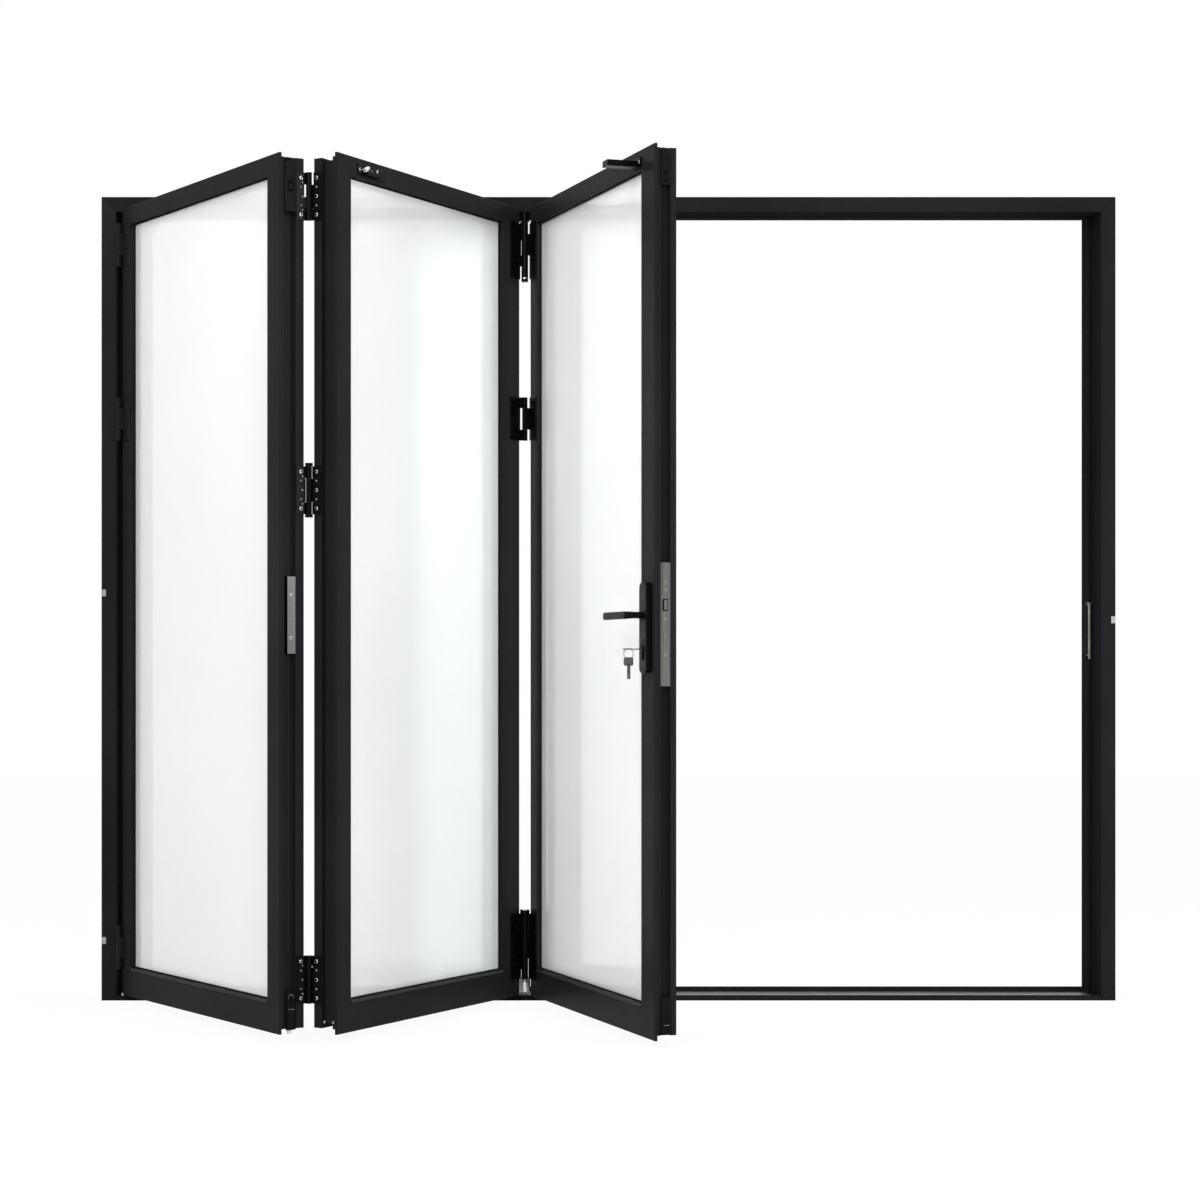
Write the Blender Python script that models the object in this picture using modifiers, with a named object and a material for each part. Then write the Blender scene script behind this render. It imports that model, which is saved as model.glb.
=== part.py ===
"""Bifold glass patio door: an outer frame and three glazed leaves, half folded to the left. Metres, +Z up."""

import math

import bmesh
import bpy
from mathutils import Matrix, Vector

# Overall size
FRAME_WIDTH = 2.65
FRAME_HEIGHT = 2.10
FRAME_DEPTH = 0.100
SEAT_GAP = 0.0003
CUT_PAST = 0.01

# Outer frame sections: widths run inward from the frame's outer edge, depths run back from its front
JAMB_FACE = 0.038
JAMB_STOP = 0.062
HEAD_FACE = 0.0385
HEAD_STOP = 0.0437
STOP_START = 0.061
GASKET_GROOVE_WIDTH = 0.004
GASKET_GROOVE_DEPTH = 0.005
GASKET_GROOVE_INSET = 0.010
BACK_CHANNEL_START = 0.035
BACK_CHANNEL_END = 0.065
BACK_CHANNEL_DEPTH = 0.008
ARRIS = 0.0008

# Track in the head and in the sill
TRACK_SETBACK = 0.030
TRACK_SLOT_WIDTH = 0.012
TRACK_CHAMBER_WIDTH = 0.030
TRACK_CHAMBER_TOP = 0.009
TRACK_CHAMBER_BOTTOM = 0.030
SILL_LIP_HEIGHT = 0.0135
SILL_LIP_DEPTH = 0.006
SILL_FLOOR_HEIGHT = 0.0105
SILL_UPSTAND_HEIGHT = 0.0245
SILL_UPSTAND_DEPTH = 0.015
GUIDE_GROOVE_WIDTH = 0.016
GUIDE_GROOVE_FLOOR = 0.0035
TRACK_PLATE_THICKNESS = 0.003
TRACK_WALL = 0.002

# Leaves
LEAF_COUNT = 3
SIDE_GAP = 0.0025
MEETING_GAP = 0.006
TOP_OVERLAP = 0.0055
BOTTOM_GAP = 0.0035
FLANGE_THICKNESS = 0.007
FLANGE_GAP = 0.003
TOP_OVERHANG = 0.0085
BOTTOM_OVERHANG = 0.0115
SIDE_OVERHANG = 0.004
FOLD_LEAF_DEPTH = 0.068
DOOR_LEAF_DEPTH = 0.055
FOLD_BACK_LAND = 0.022
DOOR_BACK_LAND = 0.0145
FRONT_LAND = 0.016
CHANNEL_DEPTH = 0.013
TOP_RAIL_FACE = 0.047
BOTTOM_RAIL_FACE = 0.075
MEETING_STILE_FACE = 0.058
JAMB_STILE_FACE = 0.051
TRACK_STILE_FACE = 0.086
DOOR_HINGE_STILE_FACE = 0.050
LOCK_STILE_FACE = 0.082
GLASS_SETBACK = 0.012
GLASS_THICKNESS = 0.024
GLASS_REBATE = 0.015
GLASS_EDGE_COVER = 0.012

# Folded positions
FIRST_LEAF_ANGLE = math.radians(58.62)
DOOR_LEAF_ANGLE = math.radians(73.5)

# Hinges
PIN_IN_FRONT = 0.0145
PIN_BEHIND = 0.010
JAMB_PIN_INSET = 0.007
BARREL_RADIUS = 0.0070
TRACK_BARREL_RADIUS = 0.0088
PIN_RADIUS = 0.004
PIN_CLEARANCE = 0.0003
HINGE_HEIGHT = 0.112
END_KNUCKLE = 0.028
KNUCKLE_GAP = 0.0005
WING_THICKNESS = 0.003
EDGE_WING_THICKNESS = 0.0025
REVEAL_WING_THICKNESS = 0.0019
REVEAL_WING_DEPTH = 0.030
REVEAL_ARM_THICKNESS = 0.003
REVEAL_ARM_SETBACK = 0.0012
FACE_WING_WIDTH = 0.042
TRACK_WING_WIDTH = 0.050
DOOR_WING_WIDTH = 0.050
EDGE_WING_WIDTH = 0.021
WING_START = 0.004
ARM_START = 0.0048
ARM_WIDTH = 0.0067
ARM_PAST_PIN = 0.0015
ROUND_SIDES = 24
TOP_HINGE_DROP = 0.097
BOTTOM_HINGE_RISE = 0.124
MIDDLE_HINGE_SHARE = 0.7317
RIDGE_MIDDLE_SHARE = 0.618
ROD_LENGTH = 0.040
ROD_WING_EXTRA = 0.033
GUIDE_WING_EXTRA = 0.0245
CAP_RADIUS = 0.0092
CAP_LENGTH = 0.0075
FILL_CLEARANCE = 0.0007
FILL_START = 0.0044
FILL_WIDTH = 0.0066

# Carrier in the head track and guide in the sill track
CARRIER_WIDTH = 0.030
CARRIER_DEPTH = 0.018
CARRIER_DROP = 0.003
CARRIER_HEIGHT = 0.0185
CARRIAGE_LENGTH = 0.070
CARRIAGE_WIDTH = 0.026
CARRIAGE_HEIGHT = 0.016
STEM_RADIUS = 0.004
EYE_RADIUS = 0.0082
LINK_WIDTH = 0.013
LINK_THICKNESS = 0.006
TOP_EYE_DROP = 0.0045
TOP_LINK_DROP = 0.012
LOW_EYE_END = 0.0535
GUIDE_WIDTH = 0.027
GUIDE_DEPTH = 0.016
GUIDE_TOP = 0.0565
GUIDE_LIFT = 0.0008
GUIDE_PIN_RADIUS = 0.004

# Lock side of the door leaf, measured from its lock edge
HANDLE_AXIS_INSET = 0.0385
HANDLE_AXIS_HEIGHT = 0.990
HANDLE_PLATE_BELOW_AXIS = 0.029
HANDLE_PLATE_WIDTH = 0.044
HANDLE_PLATE_HEIGHT = 0.208
HANDLE_PLATE_THICKNESS = 0.014
HANDLE_PLATE_CORNER = 0.012
HANDLE_PLATE_BEVEL = 0.002
LEVER_REACH = 0.148
LEVER_STANDOFF = 0.049
LEVER_HALF_HEIGHT = 0.009
LEVER_HALF_DEPTH = 0.0065
LEVER_BEND = 0.014
NECK_RADIUS = 0.0075
NECK_CLEARANCE = 0.0004
NECK_SEAT_DEPTH = 0.010
CYLINDER_BELOW_AXIS = 0.078
CYLINDER_RADIUS = 0.0085
CYLINDER_BODY_WIDTH = 0.010
CYLINDER_DROP = 0.024
CYLINDER_PROUD = 0.003
KEY_BOW_RADIUS = 0.012
KEY_THICKNESS = 0.0024
KEY_BLADE_HEIGHT = 0.008
KEY_OUT = 0.016
KEY_RING_HOLE = 0.003
KEY_IN = 0.006
LOCK_PLATE_HEIGHT = 0.283
LOCK_PLATE_BELOW_AXIS = 0.0215
FLUSH_BOLT_PLATE_HEIGHT = 0.180
FLUSH_BOLT_PLATE_CENTRE = 0.992
FLUSH_BOLT_PLATE_WIDTH = 0.021
STRIKE_WIDTH = 0.016
STRIKE_HEIGHT = 0.145
STRIKE_BELOW_AXIS = 0.0205
STRIKE_THICKNESS = 0.0025

# Shoot bolt blocks in the edge channels
BOLT_BLOCK_TOP_HEIGHT = 0.125
BOLT_BLOCK_LOW_HEIGHT = 0.086
DOOR_BOLT_TOP_HEIGHT = 0.084
BOLT_TIP_RADIUS = 0.004
BOLT_TIP_LENGTH = 0.014
BOLT_BLOCK_PROUD = 0.003
BOLT_END_MARGIN = 0.0015

# Hold-open arm on the door leaf and its catch on the second leaf
CATCH_INSET = 0.083
CATCH_LENGTH = 0.112
CATCH_HEIGHT = 0.026
CATCH_THICKNESS = 0.003
CATCH_DROP = 0.026
CATCH_BODY_LENGTH = 0.060
CATCH_BODY_HEIGHT = 0.020
CATCH_BODY_THICKNESS = 0.014
STAY_INSET = 0.080
STAY_FOOT_LENGTH = 0.050
STAY_FOOT_HEIGHT = 0.0226
STAY_FOOT_THICKNESS = 0.004
STAY_FOOT_DROP = 0.0283
STAY_BAR_INSET = 0.090
STAY_BAR_WIDTH = 0.032
STAY_BAR_HEIGHT = 0.0145
STAY_BAR_DROP = 0.0318
STAY_REACH = 0.080

# Fixing clips on the outer edges of the jambs
CLIP_WIDTH = 0.011
CLIP_HEIGHT = 0.018
CLIP_THICKNESS = 0.0015
LEFT_CLIP_HEIGHTS = (0.157, 1.065)
RIGHT_CLIP_HEIGHTS = (0.995,)

# Worked out from the sizes above
FRAME_FRONT = -FRAME_DEPTH / 2
LEAF_FACE = FRAME_FRONT - FLANGE_GAP - FLANGE_THICKNESS
LEAF_WIDTH = (
    FRAME_WIDTH - 2 * (JAMB_FACE + SIDE_GAP) - (LEAF_COUNT - 1) * MEETING_GAP
) / LEAF_COUNT
LEAF_BOTTOM = SILL_LIP_HEIGHT + BOTTOM_GAP
LEAF_TOP = FRAME_HEIGHT - HEAD_FACE + TOP_OVERLAP
LEAF_HEIGHT = LEAF_TOP - LEAF_BOTTOM
PIN_LINE = LEAF_FACE - PIN_IN_FRONT
TRACK_LINE = FRAME_FRONT + TRACK_SETBACK
TOP_HINGE_CENTRE = LEAF_TOP - TOP_HINGE_DROP
BOTTOM_HINGE_CENTRE = LEAF_BOTTOM + BOTTOM_HINGE_RISE
MIDDLE_HINGE_CENTRE = LEAF_BOTTOM + MIDDLE_HINGE_SHARE * LEAF_HEIGHT
RIDGE_MIDDLE_CENTRE = LEAF_BOTTOM + RIDGE_MIDDLE_SHARE * LEAF_HEIGHT
HINGE_LEVELS = {"bottom": BOTTOM_HINGE_CENTRE, "middle": MIDDLE_HINGE_CENTRE, "top": TOP_HINGE_CENTRE}
HEAD_UNDERSIDE = FRAME_HEIGHT - HEAD_FACE
CARRIER_TOP = HEAD_UNDERSIDE - CARRIER_DROP
CARRIER_BOTTOM = CARRIER_TOP - CARRIER_HEIGHT
TOP_EYE_END = HEAD_UNDERSIDE - TOP_EYE_DROP
HANDLE_PLATE_CENTRE = HANDLE_AXIS_HEIGHT - HANDLE_PLATE_BELOW_AXIS
CYLINDER_HEIGHT = HANDLE_AXIS_HEIGHT - CYLINDER_BELOW_AXIS
LOCK_PLATE_CENTRE = HANDLE_AXIS_HEIGHT - LOCK_PLATE_BELOW_AXIS
STRIKE_CENTRE = HANDLE_AXIS_HEIGHT - STRIKE_BELOW_AXIS
TOP_LINK_BOTTOM = HEAD_UNDERSIDE - TOP_LINK_DROP
LOW_EYE_TOP = LOW_EYE_END + LINK_THICKNESS

# Look of each material: colour, metallic, roughness
FINISHES = {
    "black_coating": ((0.035, 0.037, 0.041), 0.2, 0.45),
    "black_hardware": ((0.012, 0.012, 0.013), 0.3, 0.40),
    "mill_aluminium": ((0.60, 0.60, 0.59), 1.0, 0.35),
    "steel_plate": ((0.62, 0.61, 0.59), 1.0, 0.30),
    "glass": ((0.85, 0.90, 0.90), 0.0, 0.02),
    "grey_plastic": ((0.35, 0.35, 0.34), 0.0, 0.50),
}


def clear_scene():
    for item in list(bpy.data.objects):
        bpy.data.objects.remove(item, do_unlink=True)


def new_collection(name, hidden=False):
    made = bpy.data.collections.new(name)
    made.hide_render = hidden
    bpy.context.scene.collection.children.link(made)
    return made


def make_material(name):
    colour, metallic, roughness = FINISHES[name]
    material = bpy.data.materials.new(name)
    material.use_nodes = True
    shader = material.node_tree.nodes["Principled BSDF"]
    shader.inputs["Base Color"].default_value = (*colour, 1.0)
    shader.inputs["Metallic"].default_value = metallic
    shader.inputs["Roughness"].default_value = roughness
    return material


clear_scene()
PARTS = new_collection("bifold_patio_door")
CUTTERS = new_collection("cutters", hidden=True)
MATERIALS = {name: make_material(name) for name in FINISHES}


def add_object(name, mesh, finish):
    """Links a mesh as one named piece of the door."""
    piece = bpy.data.objects.new(name, mesh)
    piece.data.materials.append(MATERIALS[finish])
    PARTS.objects.link(piece)
    return piece


def add_helper(name, mesh):
    """Links a mesh that only joins or cuts other pieces."""
    helper = bpy.data.objects.new(name, mesh)
    helper.hide_render = True
    helper.display_type = "WIRE"
    CUTTERS.objects.link(helper)
    return helper


def add_pivot(name, location, angle):
    """An empty on a vertical hinge axis, turned by angle about it."""
    pivot = bpy.data.objects.new(name, None)
    pivot.location = location
    pivot.rotation_euler = (0, 0, angle)
    PARTS.objects.link(pivot)
    return pivot


def mesh_from(shape, name):
    """Closes a bmesh into a mesh with its faces pointing out."""
    bmesh.ops.recalc_face_normals(shape, faces=shape.faces)
    mesh = bpy.data.meshes.new(name)
    shape.to_mesh(mesh)
    shape.free()
    return mesh


def box_mesh(name, low, high):
    shape = bmesh.new()
    bmesh.ops.create_cube(shape, size=1.0)
    low, high = Vector(low), Vector(high)
    size = Matrix.Diagonal((*(high - low), 1.0))
    bmesh.ops.transform(shape, matrix=Matrix.Translation((low + high) / 2) @ size, verts=shape.verts)
    return mesh_from(shape, name)


def cylinder_mesh(name, centre, radius, start, end, axis="Z", sides=ROUND_SIDES):
    """A round bar along axis, from start to end on it; centre holds the two other coordinates in order."""
    shape = bmesh.new()
    bmesh.ops.create_cone(
        shape, cap_ends=True, segments=sides, radius1=radius, radius2=radius, depth=end - start
    )
    middle = (start + end) / 2
    if axis == "Z":
        place = Matrix.Translation((centre[0], centre[1], middle))
    elif axis == "Y":
        place = Matrix.Translation((centre[0], middle, centre[1])) @ Matrix.Rotation(math.pi / 2, 4, "X")
    else:
        place = Matrix.Translation((middle, centre[0], centre[1])) @ Matrix.Rotation(math.pi / 2, 4, "Y")
    bmesh.ops.transform(shape, matrix=place, verts=shape.verts)
    mesh = mesh_from(shape, name)
    mesh.shade_smooth()
    mesh.set_sharp_from_angle(angle=math.radians(40))
    return mesh


def loft_mesh(name, sections):
    """A closed skin through sections that have the same number of points, with both ends capped."""
    shape = bmesh.new()
    rings = [[shape.verts.new(point) for point in section] for section in sections]
    for first, second in zip(rings, rings[1:]):
        for index in range(len(first)):
            shape.faces.new((first[index - 1], first[index], second[index], second[index - 1]))
    shape.faces.new(rings[0])
    shape.faces.new(rings[-1])
    return mesh_from(shape, name)


def add_boolean(piece, helper, operation):
    modifier = piece.modifiers.new(f"{operation.lower()}_{helper.name}", "BOOLEAN")
    modifier.operation = operation
    modifier.solver = "EXACT"
    modifier.object = helper
    return modifier


def add_bevel(piece, width, segments):
    modifier = piece.modifiers.new("rounded_edges", "BEVEL")
    modifier.width = width
    modifier.segments = segments
    modifier.limit_method = "ANGLE"
    modifier.angle_limit = math.radians(40)
    return modifier


# Outer frame


def back_channel():
    """The channel in the outer side of a frame member, from its back to its front."""
    return [
        (0, BACK_CHANNEL_END),
        (BACK_CHANNEL_DEPTH, BACK_CHANNEL_END),
        (BACK_CHANNEL_DEPTH, BACK_CHANNEL_START),
        (0, BACK_CHANNEL_START),
    ]


def jamb_section():
    groove_near = JAMB_FACE + GASKET_GROOVE_INSET
    groove_far = groove_near + GASKET_GROOVE_WIDTH
    groove_floor = STOP_START + GASKET_GROOVE_DEPTH
    return [
        (0, ARRIS),
        (ARRIS, 0),
        (JAMB_FACE - ARRIS, 0),
        (JAMB_FACE, ARRIS),
        (JAMB_FACE, STOP_START),
        (groove_near, STOP_START),
        (groove_near, groove_floor),
        (groove_far, groove_floor),
        (groove_far, STOP_START),
        (JAMB_STOP, STOP_START),
        (JAMB_STOP, FRAME_DEPTH),
        (0, FRAME_DEPTH),
        *back_channel(),
    ]


def head_section():
    slot_front = TRACK_SETBACK - TRACK_SLOT_WIDTH / 2
    slot_back = TRACK_SETBACK + TRACK_SLOT_WIDTH / 2
    chamber_front = TRACK_SETBACK - TRACK_CHAMBER_WIDTH / 2
    chamber_back = TRACK_SETBACK + TRACK_CHAMBER_WIDTH / 2
    return [
        (0, ARRIS),
        (ARRIS, 0),
        (HEAD_FACE - ARRIS, 0),
        (HEAD_FACE, ARRIS),
        (HEAD_FACE, slot_front),
        (TRACK_CHAMBER_BOTTOM, slot_front),
        (TRACK_CHAMBER_BOTTOM, chamber_front),
        (TRACK_CHAMBER_TOP, chamber_front),
        (TRACK_CHAMBER_TOP, chamber_back),
        (TRACK_CHAMBER_BOTTOM, chamber_back),
        (TRACK_CHAMBER_BOTTOM, slot_back),
        (HEAD_FACE, slot_back),
        (HEAD_FACE, STOP_START),
        (HEAD_STOP, STOP_START),
        (HEAD_STOP, FRAME_DEPTH),
        (0, FRAME_DEPTH),
    ]


def sill_section():
    groove_front = TRACK_SETBACK - GUIDE_GROOVE_WIDTH / 2
    groove_back = TRACK_SETBACK + GUIDE_GROOVE_WIDTH / 2
    upstand_front = FRAME_DEPTH - SILL_UPSTAND_DEPTH
    return [
        (0, 0),
        (SILL_LIP_HEIGHT - ARRIS, 0),
        (SILL_LIP_HEIGHT, ARRIS),
        (SILL_LIP_HEIGHT, SILL_LIP_DEPTH),
        (SILL_FLOOR_HEIGHT, SILL_LIP_DEPTH),
        (SILL_FLOOR_HEIGHT, groove_front),
        (GUIDE_GROOVE_FLOOR, groove_front),
        (GUIDE_GROOVE_FLOOR, groove_back),
        (SILL_FLOOR_HEIGHT, groove_back),
        (SILL_FLOOR_HEIGHT, upstand_front),
        (SILL_UPSTAND_HEIGHT, upstand_front),
        (SILL_UPSTAND_HEIGHT, FRAME_DEPTH),
        (0, FRAME_DEPTH),
    ]


def track_section():
    floor = SILL_FLOOR_HEIGHT + SEAT_GAP
    top = floor + TRACK_PLATE_THICKNESS
    front = SILL_LIP_DEPTH + SEAT_GAP
    back = FRAME_DEPTH - SILL_UPSTAND_DEPTH - SEAT_GAP
    outer_front = TRACK_SETBACK - GUIDE_GROOVE_WIDTH / 2 + SEAT_GAP
    outer_back = TRACK_SETBACK + GUIDE_GROOVE_WIDTH / 2 - SEAT_GAP
    groove_base = GUIDE_GROOVE_FLOOR + SEAT_GAP
    return [
        (floor, front),
        (top, front),
        (top, outer_front + TRACK_WALL),
        (groove_base + TRACK_WALL, outer_front + TRACK_WALL),
        (groove_base + TRACK_WALL, outer_back - TRACK_WALL),
        (top, outer_back - TRACK_WALL),
        (top, back),
        (floor, back),
        (floor, outer_back),
        (groove_base, outer_back),
        (groove_base, outer_front),
        (floor, outer_front),
    ]


def side_point(side, width, height, run, inward, depth):
    """A point of a rectangular frame. run goes along the side, inward from its edge and depth to the back."""
    if side == "bottom":
        return (run, depth, inward)
    if side == "top":
        return (run, depth, height - inward)
    if side == "left":
        return (inward, depth, run)
    return (width - inward, depth, run)


def bar_mesh(name, section, side, size, start_slope, end_slope):
    """One side of a rectangular frame. A slope is how far an end is cut back for each metre inward."""
    width, height = size
    length = width if side in ("top", "bottom") else height
    ends = [
        [side_point(side, width, height, start_slope * a + SEAT_GAP / 2, a, b) for a, b in section],
        [side_point(side, width, height, length - end_slope * a - SEAT_GAP / 2, a, b) for a, b in section],
    ]
    return loft_mesh(name, ends)


def place_on_frame(piece):
    piece.location = (-FRAME_WIDTH / 2, FRAME_FRONT, 0)
    return piece


def add_head():
    size = (FRAME_WIDTH, FRAME_HEIGHT)
    return place_on_frame(
        add_object("head_frame", bar_mesh("head_frame", head_section(), "top", size, 1, 1), "black_coating")
    )


def corner_cutter(side):
    """Cuts the top of a jamb along the mitre and then level under the head."""
    low = FRAME_HEIGHT - SEAT_GAP
    outline = [
        (-CUT_PAST, low + CUT_PAST),
        (HEAD_STOP, low - HEAD_STOP),
        (JAMB_STOP + CUT_PAST, low - HEAD_STOP),
        (JAMB_STOP + CUT_PAST, FRAME_HEIGHT + 3 * CUT_PAST),
        (-CUT_PAST, FRAME_HEIGHT + 3 * CUT_PAST),
    ]
    ends = [
        [side_point(side, FRAME_WIDTH, FRAME_HEIGHT, z, x, depth) for x, z in outline]
        for depth in (-CUT_PAST, FRAME_DEPTH + CUT_PAST)
    ]
    return place_on_frame(add_helper(f"{side}_corner_cutter", loft_mesh(f"{side}_corner_cutter", ends)))


def add_jamb(side):
    size = (FRAME_WIDTH, FRAME_HEIGHT)
    bar = bar_mesh(f"{side}_jamb", jamb_section(), side, size, 0, 0)
    jamb = add_object(f"{side}_jamb", bar, "black_coating")
    place_on_frame(jamb)
    jamb.location.z = -SEAT_GAP / 2
    add_boolean(jamb, corner_cutter(side), "DIFFERENCE")
    return jamb


def add_sill():
    """The sill runs between the jamb faces and is notched round the jamb stops."""
    inset = JAMB_FACE + SEAT_GAP
    size = (FRAME_WIDTH - 2 * inset, FRAME_HEIGHT)
    bar = bar_mesh("sill_frame", sill_section(), "bottom", size, 0, 0)
    sill = add_object("sill_frame", bar, "black_coating")
    sill.location = (inset - FRAME_WIDTH / 2, FRAME_FRONT, 0)
    stop = FRAME_WIDTH / 2 - JAMB_STOP - SEAT_GAP
    for side in (-1, 1):
        ends = sorted((side * stop, side * FRAME_WIDTH / 2))
        notch = box_mesh(
            "sill_notch",
            (ends[0], FRAME_FRONT + STOP_START - SEAT_GAP, -CUT_PAST),
            (ends[1], FRAME_FRONT + FRAME_DEPTH + CUT_PAST, SILL_UPSTAND_HEIGHT + CUT_PAST),
        )
        add_boolean(sill, add_helper(f"sill_notch_{side}", notch), "DIFFERENCE")
    return sill


def add_sill_track():
    inset = JAMB_STOP + SEAT_GAP
    size = (FRAME_WIDTH - 2 * inset, FRAME_HEIGHT)
    bar = bar_mesh("sill_track", track_section(), "bottom", size, 0, 0)
    track = add_object("sill_track", bar, "mill_aluminium")
    track.location = (inset - FRAME_WIDTH / 2, FRAME_FRONT, 0)
    return track


def add_strike_plate():
    inner = FRAME_WIDTH / 2 - JAMB_STOP
    back = FRAME_FRONT + STOP_START - SEAT_GAP
    low = (inner, back - STRIKE_THICKNESS, STRIKE_CENTRE - STRIKE_HEIGHT / 2)
    high = (inner + STRIKE_WIDTH, back, STRIKE_CENTRE + STRIKE_HEIGHT / 2)
    return add_object("strike_plate", box_mesh("strike_plate", low, high), "steel_plate")


def add_clips():
    """Small clips on the outer front edges of the jambs."""
    places = [(-1, height) for height in LEFT_CLIP_HEIGHTS] + [(1, height) for height in RIGHT_CLIP_HEIGHTS]
    front = FRAME_FRONT - SEAT_GAP
    for number, (side, height) in enumerate(places, 1):
        edge = FRAME_WIDTH / 2 - ARRIS
        ends = sorted((side * edge, side * (edge - CLIP_WIDTH)))
        low = (ends[0], front - CLIP_THICKNESS, height - CLIP_HEIGHT / 2)
        high = (ends[1], front, height + CLIP_HEIGHT / 2)
        add_object(f"fixing_clip_{number}", box_mesh("fixing_clip", low, high), "grey_plastic")


# Leaves


class Leaf:
    """One glazed leaf. Its own coordinates run along its width, back from its face and up."""

    def __init__(self, number, pin, pivot, depth, back_land, left_face, right_face):
        self.name = f"leaf_{number}"
        self.pin = pin
        self.pivot = pivot
        self.depth = depth
        self.channel_end = depth - back_land
        self.left_face = left_face
        self.right_face = right_face

    def place(self, piece):
        """Hangs a piece, drawn in the leaf's own coordinates, on the leaf's pivot."""
        piece.parent = self.pivot
        piece.location = (-self.pin[0], -self.pin[1], 0)
        return piece

    def add(self, name, mesh, finish):
        return self.place(add_object(name, mesh, finish))

    def helper(self, name, mesh):
        return self.place(add_helper(name, mesh))


def leaf_section(leaf, face, overhang):
    """A leaf profile: face flange, edge channel, and the rebate that holds the glass."""
    rebate = face - GLASS_REBATE
    channel = overhang + CHANNEL_DEPTH
    return [
        (0, ARRIS),
        (ARRIS, 0),
        (face - ARRIS, 0),
        (face, ARRIS),
        (face, GLASS_SETBACK),
        (rebate, GLASS_SETBACK),
        (rebate, leaf.depth),
        (overhang, leaf.depth),
        (overhang, leaf.channel_end),
        (channel, leaf.channel_end),
        (channel, FRONT_LAND),
        (overhang, FRONT_LAND),
        (overhang, FLANGE_THICKNESS),
        (0, FLANGE_THICKNESS),
    ]


def overhang_cutters(leaf):
    """Boxes behind the face flange that end the stiles level with the bodies of the rails."""
    levels = {
        "top": (LEAF_TOP - TOP_OVERHANG, LEAF_TOP + CUT_PAST),
        "bottom": (LEAF_BOTTOM - CUT_PAST, LEAF_BOTTOM + BOTTOM_OVERHANG),
    }
    cutters = []
    for level, (start, end) in levels.items():
        high = (LEAF_WIDTH + CUT_PAST, leaf.depth + CUT_PAST, end)
        mesh = box_mesh("overhang", (-CUT_PAST, FLANGE_THICKNESS, start), high)
        cutters.append(leaf.helper(f"{leaf.name}_{level}_overhang", mesh))
    return cutters


def add_leaf_frame(leaf, left_name, right_name):
    """Two stiles and two rails, mitred from outer to inner corner."""
    cutters = overhang_cutters(leaf)
    faces = {
        "left": (leaf.left_face, SIDE_OVERHANG, left_name),
        "right": (leaf.right_face, SIDE_OVERHANG, right_name),
        "bottom": (BOTTOM_RAIL_FACE, BOTTOM_OVERHANG, "bottom_rail"),
        "top": (TOP_RAIL_FACE, TOP_OVERHANG, "top_rail"),
    }
    for side, (face, overhang, part_name) in faces.items():
        start, end = ("left", "right") if side in ("top", "bottom") else ("bottom", "top")
        name = f"{leaf.name}_{part_name}"
        mesh = bar_mesh(
            name,
            leaf_section(leaf, face, overhang),
            side,
            (LEAF_WIDTH, LEAF_HEIGHT),
            faces[start][0] / face,
            faces[end][0] / face,
        )
        piece = leaf.add(name, mesh, "black_coating")
        piece.location.z = LEAF_BOTTOM
        if side in ("left", "right"):
            for cutter in cutters:
                add_boolean(piece, cutter, "DIFFERENCE")


def add_glass(leaf):
    low = (
        leaf.left_face - GLASS_EDGE_COVER,
        GLASS_SETBACK + SEAT_GAP,
        LEAF_BOTTOM + BOTTOM_RAIL_FACE - GLASS_EDGE_COVER,
    )
    high = (
        LEAF_WIDTH - leaf.right_face + GLASS_EDGE_COVER,
        GLASS_SETBACK + SEAT_GAP + GLASS_THICKNESS,
        LEAF_TOP - TOP_RAIL_FACE + GLASS_EDGE_COVER,
    )
    leaf.add(f"{leaf.name}_glass", box_mesh("glass", low, high), "glass")


def add_glazing_bead(leaf):
    """The ring that clips in behind the glass."""
    front = GLASS_SETBACK + GLASS_THICKNESS + 2 * SEAT_GAP
    cover = GLASS_REBATE - SEAT_GAP
    inner_low = (leaf.left_face, front - CUT_PAST, LEAF_BOTTOM + BOTTOM_RAIL_FACE)
    inner_high = (LEAF_WIDTH - leaf.right_face, leaf.depth + CUT_PAST, LEAF_TOP - TOP_RAIL_FACE)
    low = (inner_low[0] - cover, front, inner_low[2] - cover)
    high = (inner_high[0] + cover, leaf.depth, inner_high[2] + cover)
    name = f"{leaf.name}_glazing_bead"
    bead = leaf.add(name, box_mesh(name, low, high), "black_coating")
    opening = leaf.helper(f"{name}_opening", box_mesh("opening", inner_low, inner_high))
    add_boolean(bead, opening, "DIFFERENCE")


# Hinges


def hinge_span(centre):
    return centre - HINGE_HEIGHT / 2, centre + HINGE_HEIGHT / 2


class Barrel:
    """A hinge's barrel: its radius, its low and high end, its pin's ends, and the heads on the pin."""

    def __init__(self, centre, radius=BARREL_RADIUS):
        self.radius = radius
        self.low, self.high = hinge_span(centre)
        self.inset = END_KNUCKLE / 4
        self.pin = (self.low + self.inset, self.high - self.inset)
        self.heads = ()

    def add_heads(self):
        self.pin = (self.low - self.inset, self.high + self.inset)
        low_head = (self.low - CAP_LENGTH, self.low - KNUCKLE_GAP)
        self.heads = (low_head, (self.high + KNUCKLE_GAP, self.high + CAP_LENGTH))


def knuckle_spans(bottom):
    """The lower, middle and upper knuckle of a hinge that starts at bottom."""
    first = bottom + END_KNUCKLE
    second = bottom + HINGE_HEIGHT - END_KNUCKLE
    half = KNUCKLE_GAP / 2
    return (bottom, first - half), (first + half, second - half), (second + half, bottom + HINGE_HEIGHT)


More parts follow.
